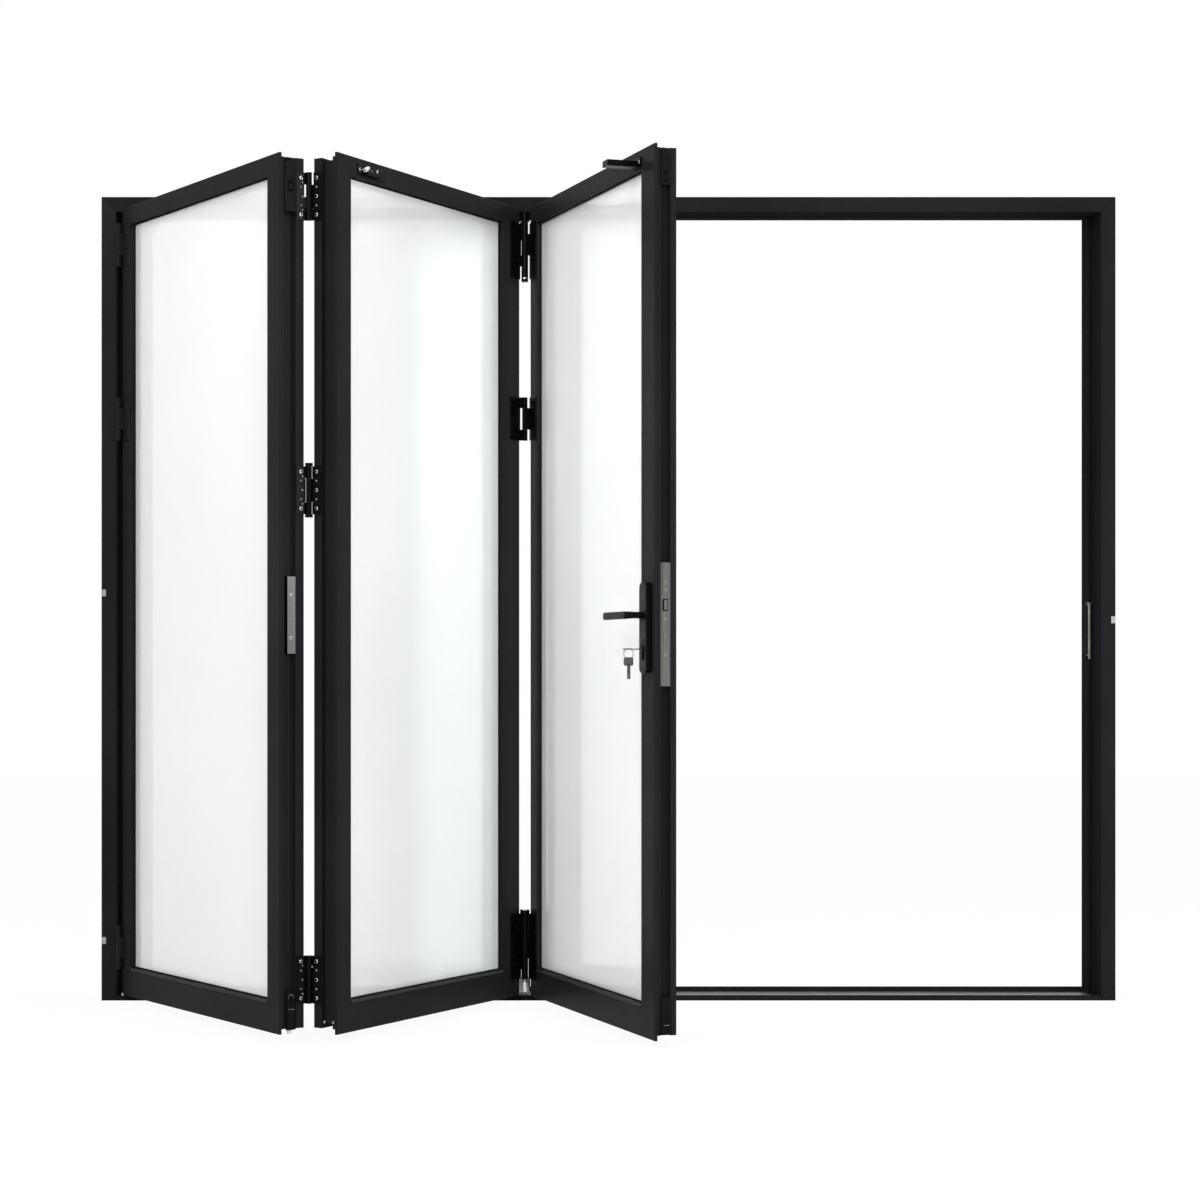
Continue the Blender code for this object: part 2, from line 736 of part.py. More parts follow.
def add_hinge_half(name, carrier, pin, centre, with_ends, wings, arms, barrel=None):
    """Flat wings, arms and this half's share of the knuckles. The half with the end knuckles carries the pin.

    A wing is two opposite corners in plan and its bottom and top. An arm is two corners in plan, and there is
    one at each knuckle. A barrel, if it isn't the plain one, says how far it runs.
    """
    bottom, top = hinge_span(centre)
    lower, middle, upper = knuckle_spans(bottom)
    barrel = barrel or Barrel(centre)
    helper = carrier.helper if carrier else add_helper
    add = carrier.add if carrier else add_object
    wing_meshes = [box_mesh("wing", (*low, start), (*high, end)) for (low, high), (start, end) in wings]
    piece = add(name, wing_meshes[0], "black_hardware")
    joined = wing_meshes[1:]
    for start, end in (lower, upper) if with_ends else (middle,):
        joined += [box_mesh("arm", (*low, start), (*high, end)) for low, high in arms]
    if with_ends:
        joined.append(cylinder_mesh("knuckle", pin, barrel.radius, barrel.low, lower[1]))
        joined.append(cylinder_mesh("knuckle", pin, barrel.radius, upper[0], barrel.high))
        joined.append(cylinder_mesh("pin", pin, PIN_RADIUS, *barrel.pin))
        joined += [cylinder_mesh("head", pin, CAP_RADIUS, *head) for head in barrel.heads]
    else:
        joined.append(cylinder_mesh("knuckle", pin, barrel.radius, *middle))
    for number, mesh in enumerate(joined, 1):
        add_boolean(piece, helper(f"{name}_join_{number}", mesh), "UNION")
    if not with_ends:
        bore = cylinder_mesh("bore", pin, PIN_RADIUS + PIN_CLEARANCE, bottom, top)
        add_boolean(piece, helper(f"{name}_bore", bore), "DIFFERENCE")
    return piece


def rectangle(u1, u2, v1, v2):
    return (min(u1, u2), min(v1, v2)), (max(u1, u2), max(v1, v2))


def clear_of(barrel, aside):
    """How far from the pin's line a straight piece ends that runs at a barrel, when it is aside from the pin."""
    return math.sqrt(barrel**2 - aside**2) + FILL_CLEARANCE


def face_half(name, leaf, pin, toward, width, centre, with_ends, barrel=None, ends=None, fills=()):
    """A half whose wing lies on the leaf's face, toward the side of the pin that the leaf is on.

    ends are the wing's bottom and top, and a fill is where the wing thickens up to the barrel.
    """
    u, v = pin
    back = -SEAT_GAP
    middle = back - WING_THICKNESS / 2
    wing = rectangle(u + toward * WING_START, u + toward * width, back - WING_THICKNESS, back)
    arm_end = u + toward * (ARM_START + ARM_WIDTH)
    arm = rectangle(u + toward * ARM_START, arm_end, v - ARM_PAST_PIN, middle)
    wings = [(wing, ends or hinge_span(centre))]
    if fills:
        fill_end = u + toward * (FILL_START + FILL_WIDTH)
        clear = v + clear_of(barrel.radius, FILL_START)
        wings += [(rectangle(u + toward * FILL_START, fill_end, clear, middle), fill) for fill in fills]
    return add_hinge_half(name, leaf, pin, centre, with_ends, wings, [arm], barrel)


def edge_half(name, leaf, pin, toward, centre, with_ends, barrel=None, fills=()):
    """A half whose wing lies on the leaf's edge, at its back. A fill is where it runs on to the barrel."""
    u, v = pin
    edge = u + toward * (MEETING_GAP / 2 + SIDE_OVERHANG - SEAT_GAP)
    outer = edge - toward * EDGE_WING_THICKNESS
    front = leaf.depth - EDGE_WING_WIDTH
    arm = rectangle(edge, outer, leaf.depth - EDGE_WING_THICKNESS, v)
    run_on = rectangle(edge, outer, front, v - clear_of(BARREL_RADIUS, outer - u))
    wings = [(rectangle(edge, outer, front, leaf.depth), hinge_span(centre))]
    wings += [(run_on, fill) for fill in fills]
    return add_hinge_half(name, leaf, pin, centre, with_ends, wings, [arm], barrel)


def reveal_half(name, pin, centre, with_ends):
    """A half whose wing lies on the inner side of the left jamb and reaches forward to the barrel."""
    side = JAMB_FACE - FRAME_WIDTH / 2 + SEAT_GAP
    back = FRAME_FRONT + REVEAL_WING_DEPTH
    front = pin[1] + REVEAL_ARM_SETBACK
    wing = rectangle(side, side + REVEAL_WING_THICKNESS, FRAME_FRONT, back)
    arms = [
        rectangle(side, side + REVEAL_WING_THICKNESS, front, back),
        rectangle(side, pin[0], front, front + REVEAL_ARM_THICKNESS),
    ]
    return add_hinge_half(name, None, pin, centre, with_ends, [(wing, hinge_span(centre))], arms)


def track_pivot_place(first_angle, first_reach, second_reach, offset):
    """The second leaf's angle and how far along the frame the track pin stands from the jamb pin."""
    first_arm = math.hypot(first_reach, offset)
    second_arm = math.hypot(second_reach, offset)
    first_lean = math.atan2(offset, first_reach)
    second_lean = math.atan2(offset, second_reach)
    out = first_arm * math.sin(first_angle - first_lean)
    second_angle = math.asin(out / second_arm) + second_lean
    along = first_arm * math.cos(first_angle - first_lean) + second_arm * math.cos(second_angle - second_lean)
    return second_angle, along


def hang_leaves():
    """Places the three leaves so that the far edge of the second one stays on the track."""
    far = LEAF_WIDTH + MEETING_GAP / 2
    near = -MEETING_GAP / 2
    behind = FOLD_LEAF_DEPTH + PIN_BEHIND
    second_angle, along = track_pivot_place(
        FIRST_LEAF_ANGLE, far - JAMB_PIN_INSET, far - near, behind + PIN_IN_FRONT
    )
    jamb_x = JAMB_FACE + SIDE_GAP + JAMB_PIN_INSET - FRAME_WIDTH / 2
    track_x = jamb_x + along
    jamb_pin = (JAMB_PIN_INSET, -PIN_IN_FRONT)
    door_pin = (near, -PIN_IN_FRONT)
    track_pin = (far, -PIN_IN_FRONT)
    first = add_pivot("jamb_hinge_axis", (jamb_x, PIN_LINE, 0), -FIRST_LEAF_ANGLE)
    second = add_pivot("track_hinge_axis", (track_x, PIN_LINE, 0), second_angle)
    third = add_pivot("door_hinge_axis", (track_x, PIN_LINE, 0), -DOOR_LEAF_ANGLE)
    return (
        Leaf(1, jamb_pin, first, FOLD_LEAF_DEPTH, FOLD_BACK_LAND, JAMB_STILE_FACE, MEETING_STILE_FACE),
        Leaf(2, track_pin, second, FOLD_LEAF_DEPTH, FOLD_BACK_LAND, MEETING_STILE_FACE, TRACK_STILE_FACE),
        Leaf(3, door_pin, third, DOOR_LEAF_DEPTH, DOOR_BACK_LAND, DOOR_HINGE_STILE_FACE, LOCK_STILE_FACE),
    )


def add_jamb_hinges(leaf):
    for level, centre in HINGE_LEVELS.items():
        reveal_half(f"jamb_hinge_{level}_frame_half", (leaf.pivot.location.x, PIN_LINE), centre, True)
        face_half(f"jamb_hinge_{level}_leaf_half", leaf, leaf.pin, 1, FACE_WING_WIDTH, centre, False)


def add_ridge_hinges(first, second):
    """The middle hinge has a pin with heads, and the wings of the lower two run on to their barrels."""
    levels = {**HINGE_LEVELS, "middle": RIDGE_MIDDLE_CENTRE}
    behind = FOLD_LEAF_DEPTH + PIN_BEHIND
    left_pin = (LEAF_WIDTH + MEETING_GAP / 2, behind)
    right_pin = (-MEETING_GAP / 2, behind)
    for level, centre in levels.items():
        lower, middle, upper = knuckle_spans(centre - HINGE_HEIGHT / 2)
        left_fills = () if level == "top" else (middle,)
        right_fills = (lower,) if level == "top" else (lower, upper)
        barrel = Barrel(centre)
        if level == "middle":
            barrel.add_heads()
        edge_half(f"ridge_hinge_{level}_left_half", first, left_pin, -1, centre, True, barrel, left_fills)
        edge_half(f"ridge_hinge_{level}_right_half", second, right_pin, 1, centre, False, barrel, right_fills)


def track_hinge_plan(level, centre):
    """A track hinge's barrel, its wings' ends, and the fills of its left and right half."""
    bottom, top = hinge_span(centre)
    lower, middle, upper = knuckle_spans(bottom)
    if level == "middle":
        return Barrel(centre), (bottom, top), (), ()
    barrel = Barrel(centre, TRACK_BARREL_RADIUS)
    if level == "top":
        barrel.low = bottom - ROD_LENGTH
        barrel.pin = (bottom, TOP_EYE_END - KNUCKLE_GAP)
        return barrel, (bottom - ROD_WING_EXTRA, top), (middle,), ()
    ends = (bottom - GUIDE_WING_EXTRA, top + ROD_WING_EXTRA)
    barrel.low = LOW_EYE_TOP + KNUCKLE_GAP
    barrel.high = top + ROD_LENGTH
    barrel.pin = (LOW_EYE_END + KNUCKLE_GAP, top)
    left_fills = ((ends[0], bottom + barrel.inset), middle, (top - barrel.inset, ends[1]))
    return barrel, ends, left_fills, ((ends[0], lower[1]), (upper[0], ends[1]))


def add_track_hinges(second, door):
    """The top and bottom pins run on through the carrier and the guide, and those wings are longer."""
    for level, centre in HINGE_LEVELS.items():
        barrel, ends, left_fills, right_fills = track_hinge_plan(level, centre)
        left = (-1, TRACK_WING_WIDTH, centre, True, barrel, ends, left_fills)
        right = (1, DOOR_WING_WIDTH, centre, False, barrel, ends, right_fills)
        face_half(f"track_hinge_{level}_left_half", second, second.pin, *left)
        face_half(f"track_hinge_{level}_right_half", door, door.pin, *right)


# Carrier and guide


def add_eye_link(name, finish, pin_x, eye, link):
    """An eye round the track pin with a flat link back to the track line."""
    piece = add_object(name, cylinder_mesh(name, (pin_x, PIN_LINE), EYE_RADIUS, *eye), finish)
    half = LINK_WIDTH / 2
    bar = box_mesh("link", (pin_x - half, PIN_LINE, link[0]), (pin_x + half, TRACK_LINE, link[1]))
    add_boolean(piece, add_helper(f"{name}_link", bar), "UNION")
    return piece


def bore_eye(piece, pin_x, eye):
    low, high = eye[0] - CUT_PAST, eye[1] + CUT_PAST
    bore = cylinder_mesh("bore", (pin_x, PIN_LINE), PIN_RADIUS + PIN_CLEARANCE, low, high)
    add_boolean(piece, add_helper(f"{piece.name}_bore", bore), "DIFFERENCE")


def track_block(pin_x, width, depth, low, high):
    return box_mesh(
        "block",
        (pin_x - width / 2, TRACK_LINE - depth / 2, low),
        (pin_x + width / 2, TRACK_LINE + depth / 2, high),
    )


def add_top_carrier(pin_x):
    name = "top_carrier"
    eye = (TOP_HINGE_CENTRE + HINGE_HEIGHT / 2 + KNUCKLE_GAP, TOP_EYE_END)
    link = (TOP_LINK_BOTTOM, TOP_LINK_BOTTOM + LINK_THICKNESS)
    piece = add_eye_link(name, "black_hardware", pin_x, eye, link)
    block = track_block(pin_x, CARRIER_WIDTH, CARRIER_DEPTH, CARRIER_BOTTOM, CARRIER_TOP)
    carriage_low = FRAME_HEIGHT - TRACK_CHAMBER_BOTTOM + SEAT_GAP
    carriage = track_block(
        pin_x, CARRIAGE_LENGTH, CARRIAGE_WIDTH, carriage_low, carriage_low + CARRIAGE_HEIGHT
    )
    middle = (CARRIER_BOTTOM + CARRIER_TOP) / 2
    stem = cylinder_mesh("stem", (pin_x, TRACK_LINE), STEM_RADIUS, middle, carriage_low + CARRIAGE_HEIGHT / 2)
    for label, mesh in (("block", block), ("stem", stem), ("carriage", carriage)):
        add_boolean(piece, add_helper(f"{name}_{label}", mesh), "UNION")
    bore_eye(piece, pin_x, eye)
    return piece


def add_bottom_guide(pin_x):
    name = "bottom_guide"
    eye = (LOW_EYE_END, LOW_EYE_TOP)
    piece = add_eye_link(name, "mill_aluminium", pin_x, eye, eye)
    plate_top = SILL_FLOOR_HEIGHT + SEAT_GAP + TRACK_PLATE_THICKNESS
    groove = GUIDE_GROOVE_FLOOR + SEAT_GAP + TRACK_WALL
    block = track_block(pin_x, GUIDE_WIDTH, GUIDE_DEPTH, plate_top + GUIDE_LIFT, GUIDE_TOP)
    pin = cylinder_mesh("pin", (pin_x, TRACK_LINE), GUIDE_PIN_RADIUS, groove + SEAT_GAP, GUIDE_TOP / 2)
    for label, mesh in (("block", block), ("pin", pin)):
        add_boolean(piece, add_helper(f"{name}_{label}", mesh), "UNION")
    bore_eye(piece, pin_x, eye)
    return piece


# Handle set on the door leaf


def rounded_rectangle(half_width, half_height, radius, steps=6):
    points = []
    corners = ((1, 1, 0), (-1, 1, 90), (-1, -1, 180), (1, -1, 270))
    for side, level, first in corners:
        for step in range(steps + 1):
            angle = math.radians(first + 90 * step / steps)
            points.append((
                side * (half_width - radius) + radius * math.cos(angle),
                level * (half_height - radius) + radius * math.sin(angle),
            ))
    return points


def keyhole_outline(grow=0.0):
    """A round barrel with a narrower body below it."""
    radius = CYLINDER_RADIUS + grow
    half = CYLINDER_BODY_WIDTH / 2 + grow
    meet = math.degrees(math.asin(half / radius))
    sweep = 360 - 2 * meet
    points = []
    for step in range(ROUND_SIDES + 1):
        angle = math.radians(-90 + meet + sweep * step / ROUND_SIDES)
        points.append((radius * math.cos(angle), radius * math.sin(angle)))
    drop = CYLINDER_DROP - CYLINDER_BODY_WIDTH / 2
    for step in range(ROUND_SIDES // 2 + 1):
        angle = math.radians(180 + 360 * step / ROUND_SIDES)
        points.append((half * math.cos(angle), half * math.sin(angle) - drop))
    return points


def face_loft(name, outline, centre, depths):
    """An outline in the plane of the leaf's face, drawn out between two depths."""
    return loft_mesh(name, [[(centre[0] + x, depth, centre[1] + z) for x, z in outline] for depth in depths])


def add_handle_plate(door, axis_u):
    back = -SEAT_GAP
    front = back - HANDLE_PLATE_THICKNESS
    outline = rounded_rectangle(HANDLE_PLATE_WIDTH / 2, HANDLE_PLATE_HEIGHT / 2, HANDLE_PLATE_CORNER)
    name = "handle_plate"
    mesh = face_loft(name, outline, (axis_u, HANDLE_PLATE_CENTRE), (back, front))
    plate = door.add(name, mesh, "black_hardware")
    add_bevel(plate, HANDLE_PLATE_BEVEL, 2)
    depths = (front - CUT_PAST, front + NECK_SEAT_DEPTH)
    radius = NECK_RADIUS + NECK_CLEARANCE
    seat = cylinder_mesh("seat", (axis_u, HANDLE_AXIS_HEIGHT), radius, *depths, "Y")
    add_boolean(plate, door.helper(f"{name}_neck_seat", seat), "DIFFERENCE")
    hole = face_loft("hole", keyhole_outline(SEAT_GAP), (axis_u, CYLINDER_HEIGHT), depths)
    add_boolean(plate, door.helper(f"{name}_cylinder_hole", hole), "DIFFERENCE")
    return front


def add_lock_cylinder(door, axis_u, plate_front):
    name = "lock_cylinder"
    depths = (plate_front - CYLINDER_PROUD, plate_front + NECK_SEAT_DEPTH - SEAT_GAP)
    mesh = face_loft(name, keyhole_outline(), (axis_u, CYLINDER_HEIGHT), depths)
    cylinder = door.add(name, mesh, "mill_aluminium")
    half = KEY_THICKNESS / 2 + SEAT_GAP
    tall = KEY_BLADE_HEIGHT / 2 + SEAT_GAP
    slot = box_mesh(
        "slot",
        (axis_u - half, depths[0] - CUT_PAST, CYLINDER_HEIGHT - tall),
        (axis_u + half, depths[0] + KEY_IN + SEAT_GAP, CYLINDER_HEIGHT + tall),
    )
    add_boolean(cylinder, door.helper(f"{name}_key_slot", slot), "DIFFERENCE")
    return depths[0]


def add_key(door, axis_u, cylinder_front):
    """A key with a round bow that stands upright in the cylinder."""
    half = KEY_THICKNESS / 2
    bow_v = cylinder_front - KEY_OUT
    ends = (axis_u - half, axis_u + half)
    bow = cylinder_mesh("key", (bow_v, CYLINDER_HEIGHT), KEY_BOW_RADIUS, *ends, "X")
    key = door.add("key", bow, "steel_plate")
    blade = box_mesh(
        "blade",
        (ends[0], bow_v, CYLINDER_HEIGHT - KEY_BLADE_HEIGHT / 2),
        (ends[1], cylinder_front + KEY_IN, CYLINDER_HEIGHT + KEY_BLADE_HEIGHT / 2),
    )
    add_boolean(key, door.helper("key_blade", blade), "UNION")
    hole_v = bow_v - KEY_BOW_RADIUS + 2 * KEY_RING_HOLE
    low, high = ends[0] - CUT_PAST, ends[1] + CUT_PAST
    hole = cylinder_mesh("hole", (hole_v, CYLINDER_HEIGHT), KEY_RING_HOLE, low, high, "X")
    add_boolean(key, door.helper("key_hole", hole), "DIFFERENCE")


def lever_section(centre, heading, half_depth, half_height, roundness):
    """A closed section square to heading. A roundness of 1 is an ellipse and a smaller one is boxier."""
    points = []
    for step in range(ROUND_SIDES):
        angle = 2 * math.pi * step / ROUND_SIDES
        across = math.copysign(abs(math.cos(angle)) ** roundness, math.cos(angle)) * half_depth
        up = math.copysign(abs(math.sin(angle)) ** roundness, math.sin(angle)) * half_height
        points.append((centre[0] - heading[1] * across, centre[1] + heading[0] * across, up))
    return points


def lever_sections(plate_front):
    """From the neck's foot in the plate, round a bend and along to the free end. The neck's axis is u = 0."""
    foot = plate_front + NECK_SEAT_DEPTH - 4 * SEAT_GAP
    bend_start = LEVER_BEND - LEVER_STANDOFF
    neck = (NECK_RADIUS, NECK_RADIUS, 1.0)
    grip = (LEVER_HALF_DEPTH, LEVER_HALF_HEIGHT, 0.55)
    sections = [
        lever_section((0, foot), (0, -1), *neck),
        lever_section((0, bend_start), (0, -1), *neck),
    ]
    for step in range(1, 7):
        share = step / 6
        angle = share * math.pi / 2
        centre = (LEVER_BEND * (math.cos(angle) - 1), bend_start - LEVER_BEND * math.sin(angle))
        size = [a + (b - a) * share for a, b in zip(neck, grip)]
        sections.append(lever_section(centre, (-math.sin(angle), -math.cos(angle)), *size))
    for back_from_tip, share in ((0.004, 1.0), (0.0012, 0.88), (0.0, 0.66)):
        centre = (back_from_tip - LEVER_REACH, -LEVER_STANDOFF)
        sections.append(
            lever_section(centre, (-1, 0), LEVER_HALF_DEPTH * share, LEVER_HALF_HEIGHT * share, grip[2])
        )
    return sections


def add_lever(door, axis_u, plate_front):
    """The lever's origin lies on the axis that it turns on."""
    mesh = loft_mesh("lever_handle", lever_sections(plate_front))
    lever = add_object("lever_handle", mesh, "black_hardware")
    door.place(lever)
    lever.location.x += axis_u
    lever.location.z = HANDLE_AXIS_HEIGHT
    return lever


# Pieces in the edges of the leaves


def channel_box(centre, height, v_ends, proud):
    """A block in the channel of the leaf's right edge."""
    face = LEAF_WIDTH - SIDE_OVERHANG
    low = (face - CHANNEL_DEPTH + SEAT_GAP, v_ends[0], centre - height / 2)
    high = (face + proud, v_ends[1], centre + height / 2)
    return box_mesh("channel_block", low, high)


def channel_width(leaf):
    return FRONT_LAND + SEAT_GAP, leaf.channel_end - SEAT_GAP


def add_bolt_block(leaf, name, height, at_top):
    """A shoot bolt housing with its round tip at the end of the stile."""
    top = LEAF_TOP - TOP_OVERHANG - BOLT_END_MARGIN
    bottom = LEAF_BOTTOM + BOTTOM_OVERHANG + BOLT_END_MARGIN
    tip = BOLT_TIP_LENGTH if at_top else 0
    centre = top - tip - (height - tip) / 2 if at_top else bottom + height / 2
    block = leaf.add(
        name, channel_box(centre, height - tip, channel_width(leaf), BOLT_BLOCK_PROUD), "black_hardware"
    )
    if at_top:
        face = LEAF_WIDTH - SIDE_OVERHANG
        place = (face - CHANNEL_DEPTH / 2, sum(channel_width(leaf)) / 2)
        bolt = cylinder_mesh("bolt", place, BOLT_TIP_RADIUS, centre, top)
        add_boolean(block, leaf.helper(f"{name}_tip", bolt), "UNION")


def add_edge_pieces(first, door):
    back = first.channel_end - SEAT_GAP
    plate = channel_box(
        FLUSH_BOLT_PLATE_CENTRE, FLUSH_BOLT_PLATE_HEIGHT, (back - FLUSH_BOLT_PLATE_WIDTH, back), 0
    )
    first.add("flush_bolt_plate", plate, "steel_plate")
    plate = channel_box(LOCK_PLATE_CENTRE, LOCK_PLATE_HEIGHT, channel_width(door), 0)
    door.add("lock_faceplate", plate, "steel_plate")
    add_bolt_block(first, "leaf_1_top_bolt", BOLT_BLOCK_TOP_HEIGHT, True)
    add_bolt_block(first, "leaf_1_bottom_bolt", BOLT_BLOCK_LOW_HEIGHT, False)
    add_bolt_block(door, "leaf_3_top_bolt", DOOR_BOLT_TOP_HEIGHT, True)
    add_bolt_block(door, "leaf_3_bottom_bolt", BOLT_BLOCK_LOW_HEIGHT, False)


def face_block(name, u_ends, out_ends, drop, height):
    """A block in front of the leaf's face. drop is how far its middle is below the top of the leaf."""
    middle = LEAF_TOP - drop
    low = (min(u_ends), -SEAT_GAP - out_ends[1], middle - height / 2)
    high = (max(u_ends), -SEAT_GAP - out_ends[0], middle + height / 2)
    return box_mesh(name, low, high)


def add_catch(leaf):
    """A catch plate with a raised sprung body in its middle."""
    name = "hold_open_catch"
    ends = (CATCH_INSET, CATCH_INSET + CATCH_LENGTH)
    plate = leaf.add(
        name, face_block(name, ends, (0, CATCH_THICKNESS), CATCH_DROP, CATCH_HEIGHT), "black_hardware"
    )
    middle = sum(ends) / 2
    body_ends = (middle - CATCH_BODY_LENGTH / 2, middle + CATCH_BODY_LENGTH / 2)
    outs = (CATCH_THICKNESS / 2, CATCH_BODY_THICKNESS)
    body = face_block("catch_body", body_ends, outs, CATCH_DROP, CATCH_BODY_HEIGHT)
    add_boolean(plate, leaf.helper("catch_body", body), "UNION")
    add_bevel(plate, CATCH_THICKNESS / 3, 2)


def add_stay(leaf):
    """A flat bar that stands square off the leaf on a foot plate, for the catch to hold."""
    name = "hold_open_arm"
    ends = (LEAF_WIDTH - STAY_INSET, LEAF_WIDTH - STAY_INSET - STAY_FOOT_LENGTH)
    foot = face_block(name, ends, (0, STAY_FOOT_THICKNESS), STAY_FOOT_DROP, STAY_FOOT_HEIGHT)
    piece = leaf.add(name, foot, "black_hardware")
    bar_ends = (LEAF_WIDTH - STAY_BAR_INSET, LEAF_WIDTH - STAY_BAR_INSET - STAY_BAR_WIDTH)
    outs = (STAY_FOOT_THICKNESS / 2, STAY_REACH)
    bar = face_block("stay_bar", bar_ends, outs, STAY_BAR_DROP, STAY_BAR_HEIGHT)
    add_boolean(piece, leaf.helper("stay_bar", bar), "UNION")
    add_bevel(piece, STAY_FOOT_THICKNESS / 3, 2)


def build():
    add_head()
    add_jamb("left")
    add_jamb("right")
    add_sill()
    add_sill_track()
    add_strike_plate()
    add_clips()
    first, second, door = hang_leaves()
    for leaf, left_name, right_name in (
        (first, "jamb_stile", "meeting_stile"),
        (second, "meeting_stile", "track_stile"),
        (door, "hinge_stile", "lock_stile"),
    ):
        add_leaf_frame(leaf, left_name, right_name)
        add_glass(leaf)
        add_glazing_bead(leaf)
    add_jamb_hinges(first)
    add_ridge_hinges(first, second)
    add_track_hinges(second, door)
    add_top_carrier(second.pivot.location.x)
    add_bottom_guide(second.pivot.location.x)
    axis_u = LEAF_WIDTH - HANDLE_AXIS_INSET
    plate_front = add_handle_plate(door, axis_u)
    cylinder_front = add_lock_cylinder(door, axis_u, plate_front)
    add_key(door, axis_u, cylinder_front)
    add_lever(door, axis_u, plate_front)
    add_edge_pieces(first, door)
    add_catch(second)
    add_stay(door)


build()
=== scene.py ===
"""Looks for a bifold glass patio door on a pale studio floor, built round its fixed CAD pieces.

Lengths are in metres, with +Z up. A point on a leaf is (u, v, z): u runs along the leaf's width, v
from its front face to its back, and z is the height above the floor.
"""

import math

import bmesh
import bpy
from mathutils import Matrix, Vector


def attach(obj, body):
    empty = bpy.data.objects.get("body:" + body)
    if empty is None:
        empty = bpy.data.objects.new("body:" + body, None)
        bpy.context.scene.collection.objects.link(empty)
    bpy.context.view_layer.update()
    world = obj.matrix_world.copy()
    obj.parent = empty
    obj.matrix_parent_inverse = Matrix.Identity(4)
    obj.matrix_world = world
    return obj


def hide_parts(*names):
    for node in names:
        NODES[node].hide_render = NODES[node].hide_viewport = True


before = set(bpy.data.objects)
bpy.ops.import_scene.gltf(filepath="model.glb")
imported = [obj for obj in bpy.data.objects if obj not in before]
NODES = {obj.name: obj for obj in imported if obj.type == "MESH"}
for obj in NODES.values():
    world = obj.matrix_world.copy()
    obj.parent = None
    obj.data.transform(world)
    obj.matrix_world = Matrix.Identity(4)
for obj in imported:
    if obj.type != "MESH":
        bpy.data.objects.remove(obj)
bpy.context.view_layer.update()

# Leaves: how far each face runs, and where the hinge pins are
LEAF_WIDTH = 0.8523333
MEETING_GAP = 0.006
PIN_LINE = -0.0745
PIN_IN_FRONT = 0.0145
JAMB_PIN_INSET = 0.007
JAMB_PIN_X = -1.2775
TRACK_PIN_X = -0.2199475
FIRST_ANGLE = math.radians(-58.62)
SECOND_ANGLE = math.radians(57.6994866)
DOOR_ANGLE = math.radians(-73.5)
SIDE_OVERHANG = 0.004
EDGE_FACE = LEAF_WIDTH - SIDE_OVERHANG
LEAF_BOTTOM = 0.017
LEAF_TOP = 2.067
TOP_RAIL_FACE = 0.047
BOTTOM_RAIL_FACE = 0.075
STILE_FACES = {1: (0.051, 0.058), 2: (0.058, 0.086), 3: (0.050, 0.082)}
LEAF_DEPTHS = {1: 0.068, 2: 0.068, 3: 0.055}

# Glass units: their two faces, how far the leaf covers them, and the thickness of a pane
GLASS_FRONT = 0.0123
GLASS_BACK = 0.0363
GLASS_COVER = 0.012
PANE = 0.004

# Outer frame: half its width, and the faces that details lie on
FRAME_HALF_WIDTH = 1.325
STOP_FRONT = 0.011
HEAD_UNDERSIDE = 2.0615
SILL_FLOOR = 0.0105

# The clearance of pieces that seat on a profile, and how deep a detail is sunk into what carries it
SEAT_GAP = 0.0003
SUNK = -0.0004

# Hinges: how high their middles are, and where their wings lie
HINGE_LEVELS = (0.141, 1.516985, 1.970)
RIDGE_LEVELS = (0.141, 1.2839, 1.970)
WING_RISE = 0.0012
EDGE_WING_FACE = LEAF_WIDTH - WING_RISE
FACE_WING_FRONT = -0.0033

# Handle and key of the door leaf
HANDLE_U = LEAF_WIDTH - 0.0385
LOCK_MIDDLE_Z = 0.961
KEY_Z = 0.912
KEY_BOW_V = -0.0500
KEY_END_V = -0.0113

# Lock faceplate in the door leaf's edge, and the flush bolt's plate in the first leaf's edge
FACEPLATE_V = 0.0283
FACEPLATE_SCREWS = (1.064, 1.047, 0.981, 0.898)
LATCH_Z = 1.0127
DEAD_BOLT_Z = 0.9361
FLUSH_PLATE_V = 0.0352
FLUSH_PLATE_SCREWS = (1.0390, 0.9386)
FLUSH_PLATE_HOLE_Z = 0.9850

# Strike plate on the right jamb
STRIKE_THICKNESS = 0.0025
STRIKE_MIDDLE_Z = 0.9665
STRIKE_HALF_HEIGHT = 0.0740
STRIKE_SCREWS = (1.0351, 0.9033)

# Shoot bolts: the face they stand out to, and for each leaf their line and half their width
BOLT_FACE = EDGE_FACE + 0.003
BOLTS = {1: (0.0310, 0.0144), 3: (0.0283, 0.0117)}

# Hold-open catch on the second leaf, and the foot of its arm on the door leaf
CATCH_Z = 2.041
CATCH_BASE_FRONT = -0.0033
CATCH_ARM_FRONT = -0.0143
ARM_FOOT_FRONT = -0.0043
ARM_FOOT_Z = LEAF_TOP - 0.0283

# Directions in a leaf's own coordinates
ALONG = (1, 0, 0)
AGAINST = (-1, 0, 0)
FORWARD = (0, -1, 0)
BACKWARD = (0, 1, 0)


def leaf_matrix(pin_x, angle, pin_u):
    """Places a leaf whose hinge pin stands at pin_x and at pin_u along the leaf."""
    turn = Matrix.Rotation(angle, 4, "Z")
    return Matrix.Translation((pin_x, PIN_LINE, 0)) @ turn @ Matrix.Translation((-pin_u, PIN_IN_FRONT, 0))


LEAVES = {
    1: leaf_matrix(JAMB_PIN_X, FIRST_ANGLE, JAMB_PIN_INSET),
    2: leaf_matrix(TRACK_PIN_X, SECOND_ANGLE, LEAF_WIDTH + MEETING_GAP / 2),
    3: leaf_matrix(TRACK_PIN_X, DOOR_ANGLE, -MEETING_GAP / 2),
}


# Materials


